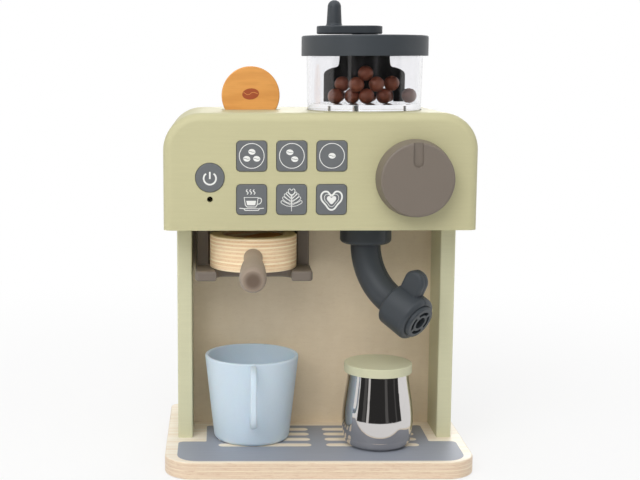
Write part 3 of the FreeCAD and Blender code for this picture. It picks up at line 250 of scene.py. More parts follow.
class EffectShelf:
    """Builds each shared effect once and hands it to the finishes."""

    def __init__(self) -> None:
        """Starts with no effect built."""
        self.groups: dict[Effect, bpy.types.NodeTree] = {}

    def get(self, effect: Effect) -> bpy.types.NodeTree:
        """Node group of an effect, built on first use.

        Args:
            effect: Effect to get.

        Returns:
            The effect's group.
        """
        if effect not in self.groups:
            builder = {
                Effect.DRIFT: self._drift,
                Effect.SKIN: self._skin,
                Effect.FILM: self._film,
                Effect.FIGURE: self._figure,
                Effect.PLIES: self._plies,
                Effect.RUBS: self._rubs,
            }[effect]
            self.groups[effect] = builder(effect.value)
        return self.groups[effect]

    def put(self, board: NodeBoard, effect: Effect, **values: object) -> bpy.types.Node:
        """Places an effect in a material.

        Args:
            board: Board of the material.
            effect: Effect to place.
            values: Input values or sockets, with _ for a space in a name.

        Returns:
            The group node.
        """
        inputs = {name.replace("_", " "): value for name, value in values.items()}
        node = board.add("ShaderNodeGroup", node_tree=self.get(effect))
        for name, value in inputs.items():
            board.feed(node.inputs[name], value)
        return node

    @staticmethod
    def _open(name: str, inputs: Iterable[Port], outputs: Iterable[tuple[str, str]]) -> tuple[
            NodeBoard, bpy.types.Node, bpy.types.Node]:
        """Starts a group with its sockets.

        Args:
            name: Name of the group.
            inputs: Inputs of the group.
            outputs: Name and kind of each output.

        Returns:
            The group's board, its input node and its output node.
        """
        tree = bpy.data.node_groups.new(name, "ShaderNodeTree")
        for port in inputs:
            socket = tree.interface.new_socket(port.name, in_out="INPUT", socket_type=port.kind)
            socket.default_value = port.value
        for label, kind in outputs:
            tree.interface.new_socket(label, in_out="OUTPUT", socket_type=kind)
        board = NodeBoard(tree)
        return board, board.add("NodeGroupInput"), board.add("NodeGroupOutput")

    def _drift(self, name: str) -> bpy.types.NodeTree:
        """Slow and fine change of a colour's brightness over a surface.

        Args:
            name: Name of the group.

        Returns:
            The group.
        """
        board, given, result = self._open(name, [
            Port("Colour", (0.8, 0.8, 0.8, 1.0), "NodeSocketColor"),
            Port("Amount", 0.05), Port("Scale", 20.0), Port("Fine amount", 0.02), Port("Fine scale", 900.0),
        ], [("Colour", "NodeSocketColor")])
        place = board.place()
        slow = board.swing(place, given.outputs["Scale"], 3.0)
        fine = board.swing(place, given.outputs["Fine scale"], 1.0)
        change = board.maths("MULTIPLY_ADD", slow, given.outputs["Amount"], 1.0)
        change = board.maths("MULTIPLY_ADD", fine, given.outputs["Fine amount"], change)
        board.feed(result.inputs["Colour"], board.brightened(given.outputs["Colour"], change))
        return board.tree

    def _skin(self, name: str) -> bpy.types.NodeTree:
        """Fine etched texture of a moulded plastic.

        Args:
            name: Name of the group.

        Returns:
            The group.
        """
        board, given, result = self._open(name, [
            Port("Grain scale", 1600.0), Port("Roughness", 0.5), Port("Spread", 0.08),
        ], [("Height", "NodeSocketFloat"), ("Roughness", "NodeSocketFloat")])
        place = board.place()
        grain = board.noise(place, given.outputs["Grain scale"], 3.0, 0.6)
        cells = board.add("ShaderNodeTexVoronoi", {"Vector": place, "Scale": given.outputs["Grain scale"]},
                          feature="SMOOTH_F1").outputs["Distance"]
        cell_share, wide_scale = 0.4, 45.0
        height = board.maths("MULTIPLY_ADD", cells, cell_share, grain)
        wide = board.swing(place, wide_scale, 2.0)
        rough = board.maths("MULTIPLY_ADD", wide, given.outputs["Spread"], given.outputs["Roughness"])
        fine = board.maths("SUBTRACT", grain, 0.5)
        rough = board.maths("MULTIPLY_ADD", fine, given.outputs["Spread"], rough)
        board.feed(result.inputs["Height"], height)
        board.feed(result.inputs["Roughness"], rough)
        return board.tree

    def _film(self, name: str) -> bpy.types.NodeTree:
        """Sprayed paint: orange peel, slow waves and a trace of the board's fibres.

        Args:
            name: Name of the group.

        Returns:
            The group.
        """
        board, given, result = self._open(name, [
            Port("Peel scale", 700.0), Port("Fibre", 0.25), Port("Roughness", 0.45), Port("Spread", 0.06),
        ], [("Height", "NodeSocketFloat"), ("Roughness", "NodeSocketFloat"), ("Fibre", "NodeSocketFloat")])
        place = board.place()
        peel = board.noise(place, given.outputs["Peel scale"], 2.0, 0.4)
        wave_scale, wave_share = 60.0, 0.8
        waves = board.noise(place, wave_scale, 2.0)
        fibre = board.grain(place, (0.030, 0.0016, 0.0016), 3.0, 0.6)
        height = board.maths("MULTIPLY_ADD", waves, wave_share, peel)
        height = board.maths("MULTIPLY_ADD", fibre, given.outputs["Fibre"], height)
        wide = board.maths("SUBTRACT", waves, 0.5)
        board.feed(result.inputs["Height"], height)
        board.feed(result.inputs["Roughness"],
                   board.maths("MULTIPLY_ADD", wide, given.outputs["Spread"], given.outputs["Roughness"]))
        board.feed(result.inputs["Fibre"], fibre)
        return board.tree

    def _figure(self, name: str) -> bpy.types.NodeTree:
        """Wood figure: growth bands, fibres and short pores along the grain.

        Args:
            name: Name of the group.

        Returns:
            The group.
        """
        board, given, result = self._open(name, [
            Port("Place", (0.0, 0.0, 0.0), "NodeSocketVector"),
            Port("Light", (0.8, 0.7, 0.5, 1.0), "NodeSocketColor"),
            Port("Dark", (0.6, 0.45, 0.3, 1.0), "NodeSocketColor"),
            Port("Band share", 0.5), Port("Fibre share", 0.3), Port("Pore share", 0.2),
        ], [("Colour", "NodeSocketColor"), ("Height", "NodeSocketFloat")])
        place = given.outputs["Place"]
        bend_scale, bend, rate = 0.35, 7.0, 2.4
        side = board.axes(place)[1]
        wave = board.maths("MULTIPLY_ADD", board.noise(place, bend_scale, 2.0), bend, side)
        ripple = board.maths("SINE", board.maths("MULTIPLY", wave, rate))
        bands = board.maths("MULTIPLY_ADD", ripple, 0.5, 0.5)
        fibre = board.grain(place, (2.2, 0.25, 0.25), 4.0, 0.65)
        pores = board.step(board.grain(place, (0.9, 0.08, 0.08), 1.0), 0.62, 0.74)
        share = board.maths("MULTIPLY", bands, given.outputs["Band share"])
        share = board.maths("MULTIPLY_ADD", fibre, given.outputs["Fibre share"], share)
        share = board.maths("MULTIPLY_ADD", pores, given.outputs["Pore share"], share)
        share = board.clamped(share)
        board.feed(result.inputs["Colour"], board.mix(share, given.outputs["Light"], given.outputs["Dark"]))
        board.feed(result.inputs["Height"], board.rest(share))
        return board.tree

    def _plies(self, name: str) -> bpy.types.NodeTree:
        """Stack of veneers along Z: every other one end grain, with thin glue lines between them.

        Args:
            name: Name of the group.

        Returns:
            The group.
        """
        board, given, result = self._open(name, [
            Port("Bottom", 0.0), Port("Top", 0.012), Port("Sheet", 0.00133), Port("Wander", 0.0004),
            Port("Glue share", 0.6), Port("Streak", 0.5),
            Port("Light", (0.85, 0.75, 0.6, 1.0), "NodeSocketColor"),
            Port("Dark", (0.7, 0.55, 0.4, 1.0), "NodeSocketColor"),
            Port("Glue", (0.4, 0.25, 0.15, 1.0), "NodeSocketColor"),
            Port("Face", (0.88, 0.78, 0.62, 1.0), "NodeSocketColor"),
        ], [("Colour", "NodeSocketColor"), ("Height", "NodeSocketFloat")])
        place = board.place()
        height = board.axes(place)[2]
        slow = board.maths("SUBTRACT", board.grain(place, (0.05, 0.05, 0.02)), 0.5)
        level = board.maths("MULTIPLY_ADD", slow, given.outputs["Wander"], height)
        level = board.maths("SUBTRACT", level, given.outputs["Bottom"])
        level = board.maths("DIVIDE", level, given.outputs["Sheet"])
        number = board.maths("FLOOR", level)
        odd = board.maths("ABSOLUTE", board.maths("MODULO", number, 2.0))
        own = board.add("ShaderNodeTexWhiteNoise", {"W": number}, noise_dimensions="1D").outputs["Value"]
        long_fibre = board.grain(place, (0.022, 0.022, 0.00035), 3.0, 0.6)
        end_fibre = board.grain(place, (0.0011, 0.0011, 0.0007), 2.0, 0.6)
        fibre = board.maths("ADD", board.maths("MULTIPLY", long_fibre, board.rest(odd)),
                            board.maths("MULTIPLY", end_fibre, odd))
        odd_share, own_share, fibre_share, lift = 0.34, 0.26, 0.7, -0.32
        share = board.maths("MULTIPLY_ADD", odd, odd_share, board.maths("MULTIPLY", own, own_share))
        share = board.maths("ADD", share, board.maths("MULTIPLY_ADD", fibre, fibre_share, lift))
        tone = board.mix(board.clamped(share), given.outputs["Light"], given.outputs["Dark"])
        within = board.maths("FRACT", level)
        line = board.step(board.maths("MINIMUM", within, board.rest(within)), 0.02, 0.13, 1.0, 0.0)
        patchy = board.step(board.grain(place, (0.02, 0.02, 0.004)), 0.3, 0.65)
        line = board.maths("MULTIPLY", board.maths("MULTIPLY", line, given.outputs["Glue share"]), patchy)
        streak = board.step(board.grain(place, (0.007, 0.007, 0.00045), 3.0, 0.6), 0.5, 0.72)
        line = board.maths("MAXIMUM", line, board.maths("MULTIPLY", streak, given.outputs["Streak"]))
        edge_tone = board.mix(line, tone, given.outputs["Glue"])
        below = board.maths("SUBTRACT", given.outputs["Top"], height)
        facing = board.step(below, 0.0001, 0.0005, 1.0, 0.0)
        growth = board.grain(place, (0.09, 0.005, 0.01), 3.0, 0.55)
        veneer = board.mix(board.step(growth, 0.35, 0.75), given.outputs["Face"], given.outputs["Light"])
        board.feed(result.inputs["Colour"], board.mix(facing, edge_tone, veneer))
        glue_relief = -0.6
        relief = board.maths("MULTIPLY_ADD", line, glue_relief, fibre)
        board.feed(result.inputs["Height"], board.maths("MULTIPLY", relief, board.rest(facing)))
        return board.tree

    def _rubs(self, name: str) -> bpy.types.NodeTree:
        """Faint smudges and hairline rubs that lift the roughness of a polished surface.

        Args:
            name: Name of the group.

        Returns:
            The group.
        """
        board, given, result = self._open(name, [
            Port("Roughness", 0.05), Port("Smudge", 0.05), Port("Hairline", 0.04),
        ], [("Roughness", "NodeSocketFloat"), ("Height", "NodeSocketFloat")])
        place = board.place()
        smudge = board.step(board.noise(place, 70.0, 3.0, 0.6), 0.5, 0.8)
        hair = board.grain(place, (0.004, 0.004, 0.00012), 2.0, 0.6)
        rough = board.maths("MULTIPLY_ADD", smudge, given.outputs["Smudge"], given.outputs["Roughness"])
        lines = board.step(hair, 0.5, 0.75)
        rough = board.maths("MULTIPLY_ADD", lines, given.outputs["Hairline"], rough)
        board.feed(result.inputs["Roughness"], rough)
        board.feed(result.inputs["Height"], hair)
        return board.tree


shelf = EffectShelf()


@dataclass(frozen=True)
class Look:
    """What a finish gives its shader: colour, roughness, and a relief with its depth in metres."""

    tone: Socket
    roughness: Socket
    height: Socket
    depth: float


@dataclass(frozen=True)
class Finish(ABC):
    """Ground that every finish shares: one surface shader on its own node board."""

    name: str
    shine: ClassVar[float] = 0.5

    def make(self) -> bpy.types.Material:
        """Builds the material.

        Returns:
            The material.
        """
        material = bpy.data.materials.new(self.name)
        material.use_nodes = True
        board = NodeBoard(material.node_tree)
        surface = material.node_tree.nodes["Principled BSDF"]
        for name, value in self.plain().items():
            surface.inputs[name].default_value = value
        look = self.look(board)
        bump = board.add("ShaderNodeBump", {"Height": look.height, "Distance": look.depth, "Strength": 1.0})
        board.feed(surface.inputs["Base Color"], look.tone)
        board.feed(surface.inputs["Roughness"], look.roughness)
        board.feed(surface.inputs["Normal"], bump.outputs["Normal"])
        return material

    def plain(self) -> dict[str, object]:
        """Plain values of the shader."""
        return {"Specular IOR Level": self.shine}

    @abstractmethod
    def look(self, board: NodeBoard) -> Look:
        """Lays out the finish on the board of its material.

        Args:
            board: Board of the material.

        Returns:
            Colour, roughness and relief.
        """


@dataclass(frozen=True)
class SprayedPaint(Finish):
    """Satin paint on a wooden board."""

    colour: Colour
    roughness: float = 0.5
    peel_depth: float = 0.000006
    shine: ClassVar[float] = 0.4

    def look(self, board: NodeBoard) -> Look:
        """Drifting colour with faint fibres below a peeled film.

        Args:
            board: Board of the material.

        Returns:
            Colour, roughness and relief.
        """
        film = shelf.put(board, Effect.FILM, Roughness=self.roughness)
        tone = shelf.put(board, Effect.DRIFT, Colour=self.colour, Amount=0.05, Scale=9.0, Fine_amount=0.04,
                         Fine_scale=1100.0)
        speck = board.step(film.outputs["Fibre"], 0.3, 0.75, 0.985, 1.015)
        toned = board.brightened(tone.outputs["Colour"], speck)
        return Look(toned, film.outputs["Roughness"], film.outputs["Height"], self.peel_depth)


@dataclass(frozen=True)
class MouldedPlastic(Finish):
    """Plastic from a mould, with a fine etched skin."""

    colour: Colour
    roughness: float = 0.5
    grain_scale: float = 1600.0
    depth: float = 0.000008
    soft: float = 0.0
    soft_depth: float = 0.002
    shine: ClassVar[float] = 0.45

    def plain(self) -> dict[str, object]:
        """Plain values, with light that soaks into a soft plastic.

        Returns:
            Values by socket name.
        """
        if self.soft <= 0:
            return super().plain()
        return super().plain() | {"Subsurface Weight": self.soft, "Subsurface Scale": self.soft_depth}

    def look(self, board: NodeBoard) -> Look:
        """Drifting colour with an etched skin.

        Args:
            board: Board of the material.

        Returns:
            Colour, roughness and relief.
        """
        skin = shelf.put(board, Effect.SKIN, Grain_scale=self.grain_scale, Roughness=self.roughness)
        tone = shelf.put(board, Effect.DRIFT, Colour=self.base_tone(board), Amount=0.06, Scale=30.0,
                         Fine_amount=0.07, Fine_scale=self.grain_scale)
        return Look(tone.outputs["Colour"], skin.outputs["Roughness"], skin.outputs["Height"], self.depth)

    def base_tone(self, board: NodeBoard) -> Colour | Socket:
        """Gives the plastic's own colour."""
        return self.colour


@dataclass(frozen=True)
class ShadedEndPlastic(MouldedPlastic):
    """Moulded plastic with painted shade: darker on a flat end towards the front, where the end stands in
    shade.
    """

    end_shade_colour: Colour = (0.1, 0.1, 0.1, 1.0)
    end_place: tuple[float, float, float] = (0.0, 0.0, 0.0)
    end_radius: float = 0.006
    core_share: float = 0.4
    end_depth: float = 0.0012

    def base_tone(self, board: NodeBoard) -> Colour | Socket:
        """Gives the painted shade's colour around the middle of the end, fading outwards.

        Args:
            board: Board of the material.

        Returns:
            The mixed colour.
        """
        x, y, z = board.axes(board.moved(self.end_place))
        core = self.core_share * self.end_radius
        middle = board.step(board.distance(x, z), core, self.end_radius, 1.0, 0.0)
        end = board.maths("MULTIPLY", middle, board.step(y, self.end_depth / 2, self.end_depth, 1.0, 0.0))
        # The darker end is painted shade, not a colour of the plastic.
        return board.mix(end, self.colour, self.end_shade_colour)


@dataclass(frozen=True)
class VeneerStack(Finish):
    """Lacquered plywood whose edge shows its plies."""

    light: Colour
    dark: Colour
    glue: Colour
    face: Colour
    bottom: float
    top: float
    sheets: int
    wander: float = 0.0004
    glue_share: float = 0.6
    streak: float = 0.5
    roughness: float = 0.42
    depth: float = 0.00003
    shine: ClassVar[float] = 0.45

    def look(self, board: NodeBoard) -> Look:
        """Plies with a drifting colour below a lacquer film.

        Args:
            board: Board of the material.

        Returns:
            Colour, roughness and relief.
        """
        plies = shelf.put(
            board, Effect.PLIES, Bottom=self.bottom, Top=self.top, Wander=self.wander,
            Sheet=(self.top - self.bottom) / self.sheets, Glue_share=self.glue_share, Streak=self.streak,
            Light=self.light, Dark=self.dark, Glue=self.glue, Face=self.face,
        )
        tone = shelf.put(board, Effect.DRIFT, Colour=plies.outputs["Colour"], Amount=0.07, Scale=25.0,
                         Fine_amount=0.03, Fine_scale=900.0)
        film = shelf.put(board, Effect.FILM, Roughness=self.roughness, Spread=0.1)
        return Look(tone.outputs["Colour"], film.outputs["Roughness"], plies.outputs["Height"], self.depth)


@dataclass(frozen=True)
class PlainWood(Finish):
    """Solid or veneered wood with its figure along one axis."""

    light: Colour
    dark: Colour
    sizes: tuple[float, float, float]
    centre: tuple[float, float, float] = (0.0, 0.0, 0.0)
    roughness: float = 0.45
    bands: float = 0.35
    fibres: float = 0.5
    pores: float = 0.25
    depth: float = 0.00002
    coat: float = 0.0
    coat_roughness: float = 0.12
    shine: ClassVar[float] = 0.45

    def plain(self) -> dict[str, object]:
        """Plain values, with a coat of lacquer."""
        return super().plain() | {"Coat Weight": self.coat, "Coat Roughness": self.coat_roughness}

    def look(self, board: NodeBoard) -> Look:
        """Figure with a drifting colour below a lacquer film.

        Args:
            board: Board of the material.

        Returns:
            Colour, roughness and relief.
        """
        place = board.stretched(board.moved(self.centre), self.sizes)
        figure = shelf.put(board, Effect.FIGURE, Place=place, Light=self.light, Dark=self.dark,
                           Band_share=self.bands, Fibre_share=self.fibres, Pore_share=self.pores)
        tone = shelf.put(board, Effect.DRIFT, Colour=figure.outputs["Colour"], Amount=0.06, Scale=30.0,
                         Fine_amount=0.03, Fine_scale=900.0)
        film = shelf.put(board, Effect.FILM, Roughness=self.roughness, Spread=0.1)
        return Look(tone.outputs["Colour"], film.outputs["Roughness"], figure.outputs["Height"], self.depth)


@dataclass(frozen=True)
class ClearMoulding(Finish):
    """Clear plastic with faint flow marks."""

    tint: Colour
    roughness: float = 0.03
    bending: float = 1.49
    flow_sizes: tuple[float, float, float] = (0.03, 0.03, 0.006)
    depth: float = 0.00002

    def plain(self) -> dict[str, object]:
        """Plain values of a clear solid.

        Returns:
            Values by socket name.
        """
        return super().plain() | {
            "Transmission Weight": 1.0, "IOR": self.bending, "Base Color": self.tint,
            "Roughness": self.roughness,
        }

    def look(self, board: NodeBoard) -> Look:
        """Drifting tint with rubs and flow marks.

        Args:
            board: Board of the material.

        Returns:
            Colour, roughness and relief.
        """
        flow = board.grain(board.place(), self.flow_sizes)
        tone = shelf.put(board, Effect.DRIFT, Colour=self.tint, Amount=0.02, Scale=40.0, Fine_amount=0.01)
        rubs = shelf.put(board, Effect.RUBS, Roughness=self.roughness, Smudge=0.02, Hairline=0.015)
        return Look(tone.outputs["Colour"], rubs.outputs["Roughness"], flow, self.depth)


@dataclass(frozen=True)
class PolishedMetal(Finish):
    """Steel or zinc plate, with faint rubs."""

    colour: Colour
    roughness: float = 0.06
    smudge: float = 0.05
    hairline: float = 0.03
    depth: float = 0.0000012

    def plain(self) -> dict[str, object]:
        """Plain values of a metal."""
        return super().plain() | {"Metallic": 1.0}

    def look(self, board: NodeBoard) -> Look:
        """Drifting colour with rubs.

        Args:
            board: Board of the material.

        Returns:
            Colour, roughness and relief.
        """
        rubs = shelf.put(board, Effect.RUBS, Roughness=self.roughness, Smudge=self.smudge,
                         Hairline=self.hairline)
        tone = shelf.put(board, Effect.DRIFT, Colour=self.colour, Amount=0.03, Scale=40.0, Fine_amount=0.02)
        return Look(tone.outputs["Colour"], rubs.outputs["Roughness"], rubs.outputs["Height"], self.depth)


@dataclass(frozen=True)
class PrintedInk(Finish):
    """Thin printed ink, a little uneven where it lies on the grain below."""

    colour: Colour
    roughness: float = 0.55
    mottle: float = 0.06
    along: tuple[float, float, float] = (0.01, 0.01, 0.01)
    depth: float = 0.000006
    shine: ClassVar[float] = 0.4

    def look(self, board: NodeBoard) -> Look:
        """Mottled and drifting colour with a fine skin.

        Args:
            board: Board of the material.

        Returns:
            Colour, roughness and relief.
        """
        streak = board.grain(board.place(), self.along, 3.0, 0.6)
        toned = board.brightened(self.colour, board.step(streak, 0.2, 0.8, 1 - self.mottle, 1 + self.mottle))
        tone = shelf.put(board, Effect.DRIFT, Colour=toned, Amount=0.04, Scale=35.0, Fine_amount=0.06,
                         Fine_scale=1400.0)
        skin = shelf.put(board, Effect.SKIN, Grain_scale=1300.0, Roughness=self.roughness)
        return Look(tone.outputs["Colour"], skin.outputs["Roughness"], skin.outputs["Height"], self.depth)


@dataclass(frozen=True)
class EtchedBoard(Finish):
    """Circuit board: lacquer over narrow copper tracks."""

    lacquer: Colour
    track: Colour
    row_pitch: float = 0.0016
    column_pitch: float = 0.0034
    roughness: float = 0.3
    depth: float = 0.00003

    def look(self, board: NodeBoard) -> Look:
        """Rows and columns of broken tracks below a fine skin.

        Args:
            board: Board of the material.

        Returns:
            Colour, roughness and relief.
        """
        x, _, z = board.axes(board.place())
        rows = board.maths("PINGPONG", z, self.row_pitch)
        columns = board.maths("PINGPONG", x, self.column_pitch)
        lines = board.maths("MAXIMUM", board.step(rows, 0.00035, 0.00045, 1.0, 0.0),
                            board.step(columns, 0.0003, 0.0004, 1.0, 0.0))
        broken = board.step(board.noise(board.place(), 90.0, 1.0), 0.48, 0.52)
        tone = board.mix(board.maths("MULTIPLY", lines, broken), self.lacquer, self.track)
        skin = shelf.put(board, Effect.SKIN, Roughness=self.roughness)
        return Look(tone, skin.outputs["Roughness"], lines, self.depth)


@dataclass(frozen=True)
class CellWrap(Finish):
    """Shrink wrap of a round cell with a paler band at its upper end."""

    wrap: Colour
    band: Colour
    band_from: float
    edge: float = 0.0004
    roughness: float = 0.3
    depth: float = 0.000005

    def look(self, board: NodeBoard) -> Look:
        """Two drifting colours with a fine skin.

        Args:
            board: Board of the material.

        Returns:
            Colour, roughness and relief.
        """
        height = board.axes(board.place())[2]
        share = board.step(height, self.band_from, self.band_from + self.edge)
        skin = shelf.put(board, Effect.SKIN, Roughness=self.roughness)
        tone = shelf.put(board, Effect.DRIFT, Colour=board.mix(share, self.wrap, self.band), Amount=0.05)
        return Look(tone.outputs["Colour"], skin.outputs["Roughness"], skin.outputs["Height"], self.depth)


def dress(material: bpy.types.Material, *nodes: str) -> None:
    """Gives CAD nodes their finish.

    Args:
        material: Finish to give.
        nodes: Names of the nodes.
    """
    for node in nodes:
        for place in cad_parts[node].material_slots:
            place.material = material
        log.info("%s dressed in %s", node, material.name)


def shown(name: str, shape: bmesh.types.BMesh, material: bpy.types.Material) -> bpy.types.Object:
    """Makes an object of a shape and shows it.

    Args:
        name: Name of the object.
        shape: Shape to show, which is used up.
        material: Finish of the object.

    Returns:
        The object.
    """
    mesh = bpy.data.meshes.new(name)
    shape.to_mesh(mesh)
    shape.free()
    mesh.materials.append(material)
    piece = bpy.data.objects.new(name, mesh)
    bpy.context.scene.collection.objects.link(piece)
    return piece


def blank_material(name: str) -> tuple[bpy.types.Material, NodeBoard]:
    """New material without any node.

    Args:
        name: Name of the material.

    Returns:
        The material and its board.
    """
    material = bpy.data.materials.new(name)
    material.use_nodes = True
    material.node_tree.nodes.clear()
    return material, NodeBoard(material.node_tree)


@dataclass(frozen=True)
class Corner:
    """Corner of a printed outline, in millimetres, with its rounding."""

    x: float
    y: float
    radius: float = 0.0


@dataclass
class FlatPrint:
    """Print made of flat strokes and filled patches, drawn in millimetres and laid on a surface."""

    name: str
    thickness: float = 0.05
    shape: bmesh.types.BMesh = field(default_factory=bmesh.new)

    def _take(self, curve: bpy.types.Curve, flatten: float) -> None:
        """Adds a curve's mesh to the print.

        Args:
            curve: Curve to take, which is used up.
            flatten: Factor on its thickness.
        """
        holder = bpy.data.objects.new(curve.name, curve)
        bpy.context.scene.collection.objects.link(holder)
        bpy.context.view_layer.update()
        mesh = bpy.data.meshes.new_from_object(holder.evaluated_get(bpy.context.evaluated_depsgraph_get()))
        mesh.transform(Matrix.Diagonal((1.0, 1.0, flatten, 1.0)))
        piece = bmesh.new()
        piece.from_mesh(mesh)
        bmesh.ops.remove_doubles(piece, verts=piece.verts, dist=0.0005)
        bmesh.ops.recalc_face_normals(piece, faces=piece.faces)
        piece.to_mesh(mesh)
        piece.free()
        self.shape.from_mesh(mesh)
        bpy.data.meshes.remove(mesh)
        bpy.data.objects.remove(holder)
        bpy.data.curves.remove(curve)

    def stroke(
        self, points: Sequence[Point], width: float, closed: bool = False, smooth: bool = True
    ) -> None:
        """Adds a line of ink.

        Args:
            points: Points that the line goes through.
            width: Width of the line.
            closed: Whether its end joins its start.
            smooth: Whether it curves through its points.
        """
        curve = bpy.data.curves.new(self.name, "CURVE")
        curve.dimensions = "3D"
        curve.bevel_depth = width / 2
        curve.bevel_resolution = 2
        curve.resolution_u = 8
        curve.use_fill_caps = True
        self._line(curve, points, closed, smooth)
        self._take(curve, self.thickness / width)

    @staticmethod
    def _line(curve: bpy.types.Curve, points: Sequence[Point], closed: bool, smooth: bool) -> None:
        """Adds a line through points to a curve.

        Args:
            curve: Curve to add to.
            points: Points in order.
            closed: Whether its end joins its start.
            smooth: Whether it curves through its points.
        """
        line = curve.splines.new("BEZIER")
        line.bezier_points.add(len(points) - 1)
        for knot, (x, y) in zip(line.bezier_points, points):
            knot.co = (x, y, 0.0)
            knot.handle_left_type = knot.handle_right_type = "AUTO" if smooth else "VECTOR"
        line.use_cyclic_u = closed

    def patch(self, *outlines: Sequence[Corner]) -> None:
        """Adds a filled shape.

        Args:
            outlines: Rounded corners of its outline, then those of each hole.
        """
        curve = self._filled()
        for corners in outlines:
            self._outline(curve, corners)
        self._take(curve, 1.0)

    def _filled(self) -> bpy.types.Curve:
        """Starts a filled flat curve.

        Returns:
            The curve, still without an outline.
        """
        curve = bpy.data.curves.new(self.name, "CURVE")
        curve.dimensions = "2D"
        curve.fill_mode = "BOTH"
        curve.extrude = self.thickness / 2
        curve.resolution_u = 8
        return curve

    @staticmethod
    def _outline(curve: bpy.types.Curve, corners: Sequence[Corner]) -> None:
        """Adds a closed outline with rounded corners to a curve.

        Args:
            curve: Curve to add to.
            corners: Corners in order.
        """
        knots: list[tuple[Vector, Vector, Vector]] = []
        count = len(corners)
        for index, corner in enumerate(corners):
            here = Vector((corner.x, corner.y, 0.0))
            before = Vector((corners[index - 1].x, corners[index - 1].y, 0.0))
            after = Vector((corners[(index + 1) % count].x, corners[(index + 1) % count].y, 0.0))
            to_before = (before - here).normalized() * corner.radius
            to_after = (after - here).normalized() * corner.radius
            if corner.radius > 0:
                start, end = here + to_before, here + to_after
                knots.append((start, start, here + to_before * (1 - CIRCLE_HANDLE)))
                knots.append((end, here + to_after * (1 - CIRCLE_HANDLE), end))
            else:
                knots.append((here, here, here))
        line = curve.splines.new("BEZIER")
        line.bezier_points.add(len(knots) - 1)
        for knot, (point, left, right) in zip(line.bezier_points, knots):
            knot.handle_left_type = knot.handle_right_type = "FREE"
            knot.co, knot.handle_left, knot.handle_right = point, left, right
        line.use_cyclic_u = True

    def blob(self, points: Sequence[Point]) -> None:
        """Adds a filled smooth shape.

        Args:
            points: Points that its edge goes through.
        """
        curve = self._filled()
        self._line(curve, points, closed=True, smooth=True)
        self._take(curve, 1.0)

    def ring(self, centre: Point, radius: float, width: float) -> None:
        """Adds a ring of ink."""
        self.stroke(circle(centre, radius), width, closed=True)

    def lay(self, place: Matrix, material: bpy.types.Material, body: str) -> None:
        """Lays the print on the object.

        Args:
            place: From the drawing in millimetres to the object in metres, with Z out of the surface.
            material: Ink.
            body: Body that carries it.
        """
        bmesh.ops.transform(self.shape, matrix=place @ Matrix.Scale(MM, 4), verts=self.shape.verts)
        piece = shown(self.name, self.shape, material)
        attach(piece, body)
        log.info("%s printed on %s", self.name, body)


def circle(centre: Point, radius: float, count: int = 12) -> list[Point]:
    """Points round a circle."""
    turns = [2 * math.pi * index / count for index in range(count)]
    return [(centre[0] + radius * math.cos(turn), centre[1] + radius * math.sin(turn)) for turn in turns]


def oval(centre: Point, half_width: float, half_height: float, tilt: float = 0.0) -> list[Point]:
    """Points round an oval.

    Args:
        centre: Middle of the oval.
        half_width: Half of its width.
        half_height: Half of its height.
        tilt: Its tilt in degrees.

    Returns:
        The points in order.
    """
    cosine, sine = math.cos(math.radians(tilt)), math.sin(math.radians(tilt))
    points = []
    for x, y in circle((0.0, 0.0), 1.0):
        x, y = x * half_width, y * half_height
        points.append((centre[0] + x * cosine - y * sine, centre[1] + x * sine + y * cosine))
    return points


def facing_front(x: float, y: float, z: float) -> Matrix:
    """Place of a print on an upright face that looks towards the front."""
    return Matrix.Translation((x, y, z)) @ Matrix.Rotation(math.radians(90), 4, "X")


GREEN = shade(197, 192, 152)
# Paler copy of the sage paint for the side panels: painted light, standing in for the brighter light that
# falls on them.
PAINTED_LIGHT_GREEN = shade(211, 209, 175)


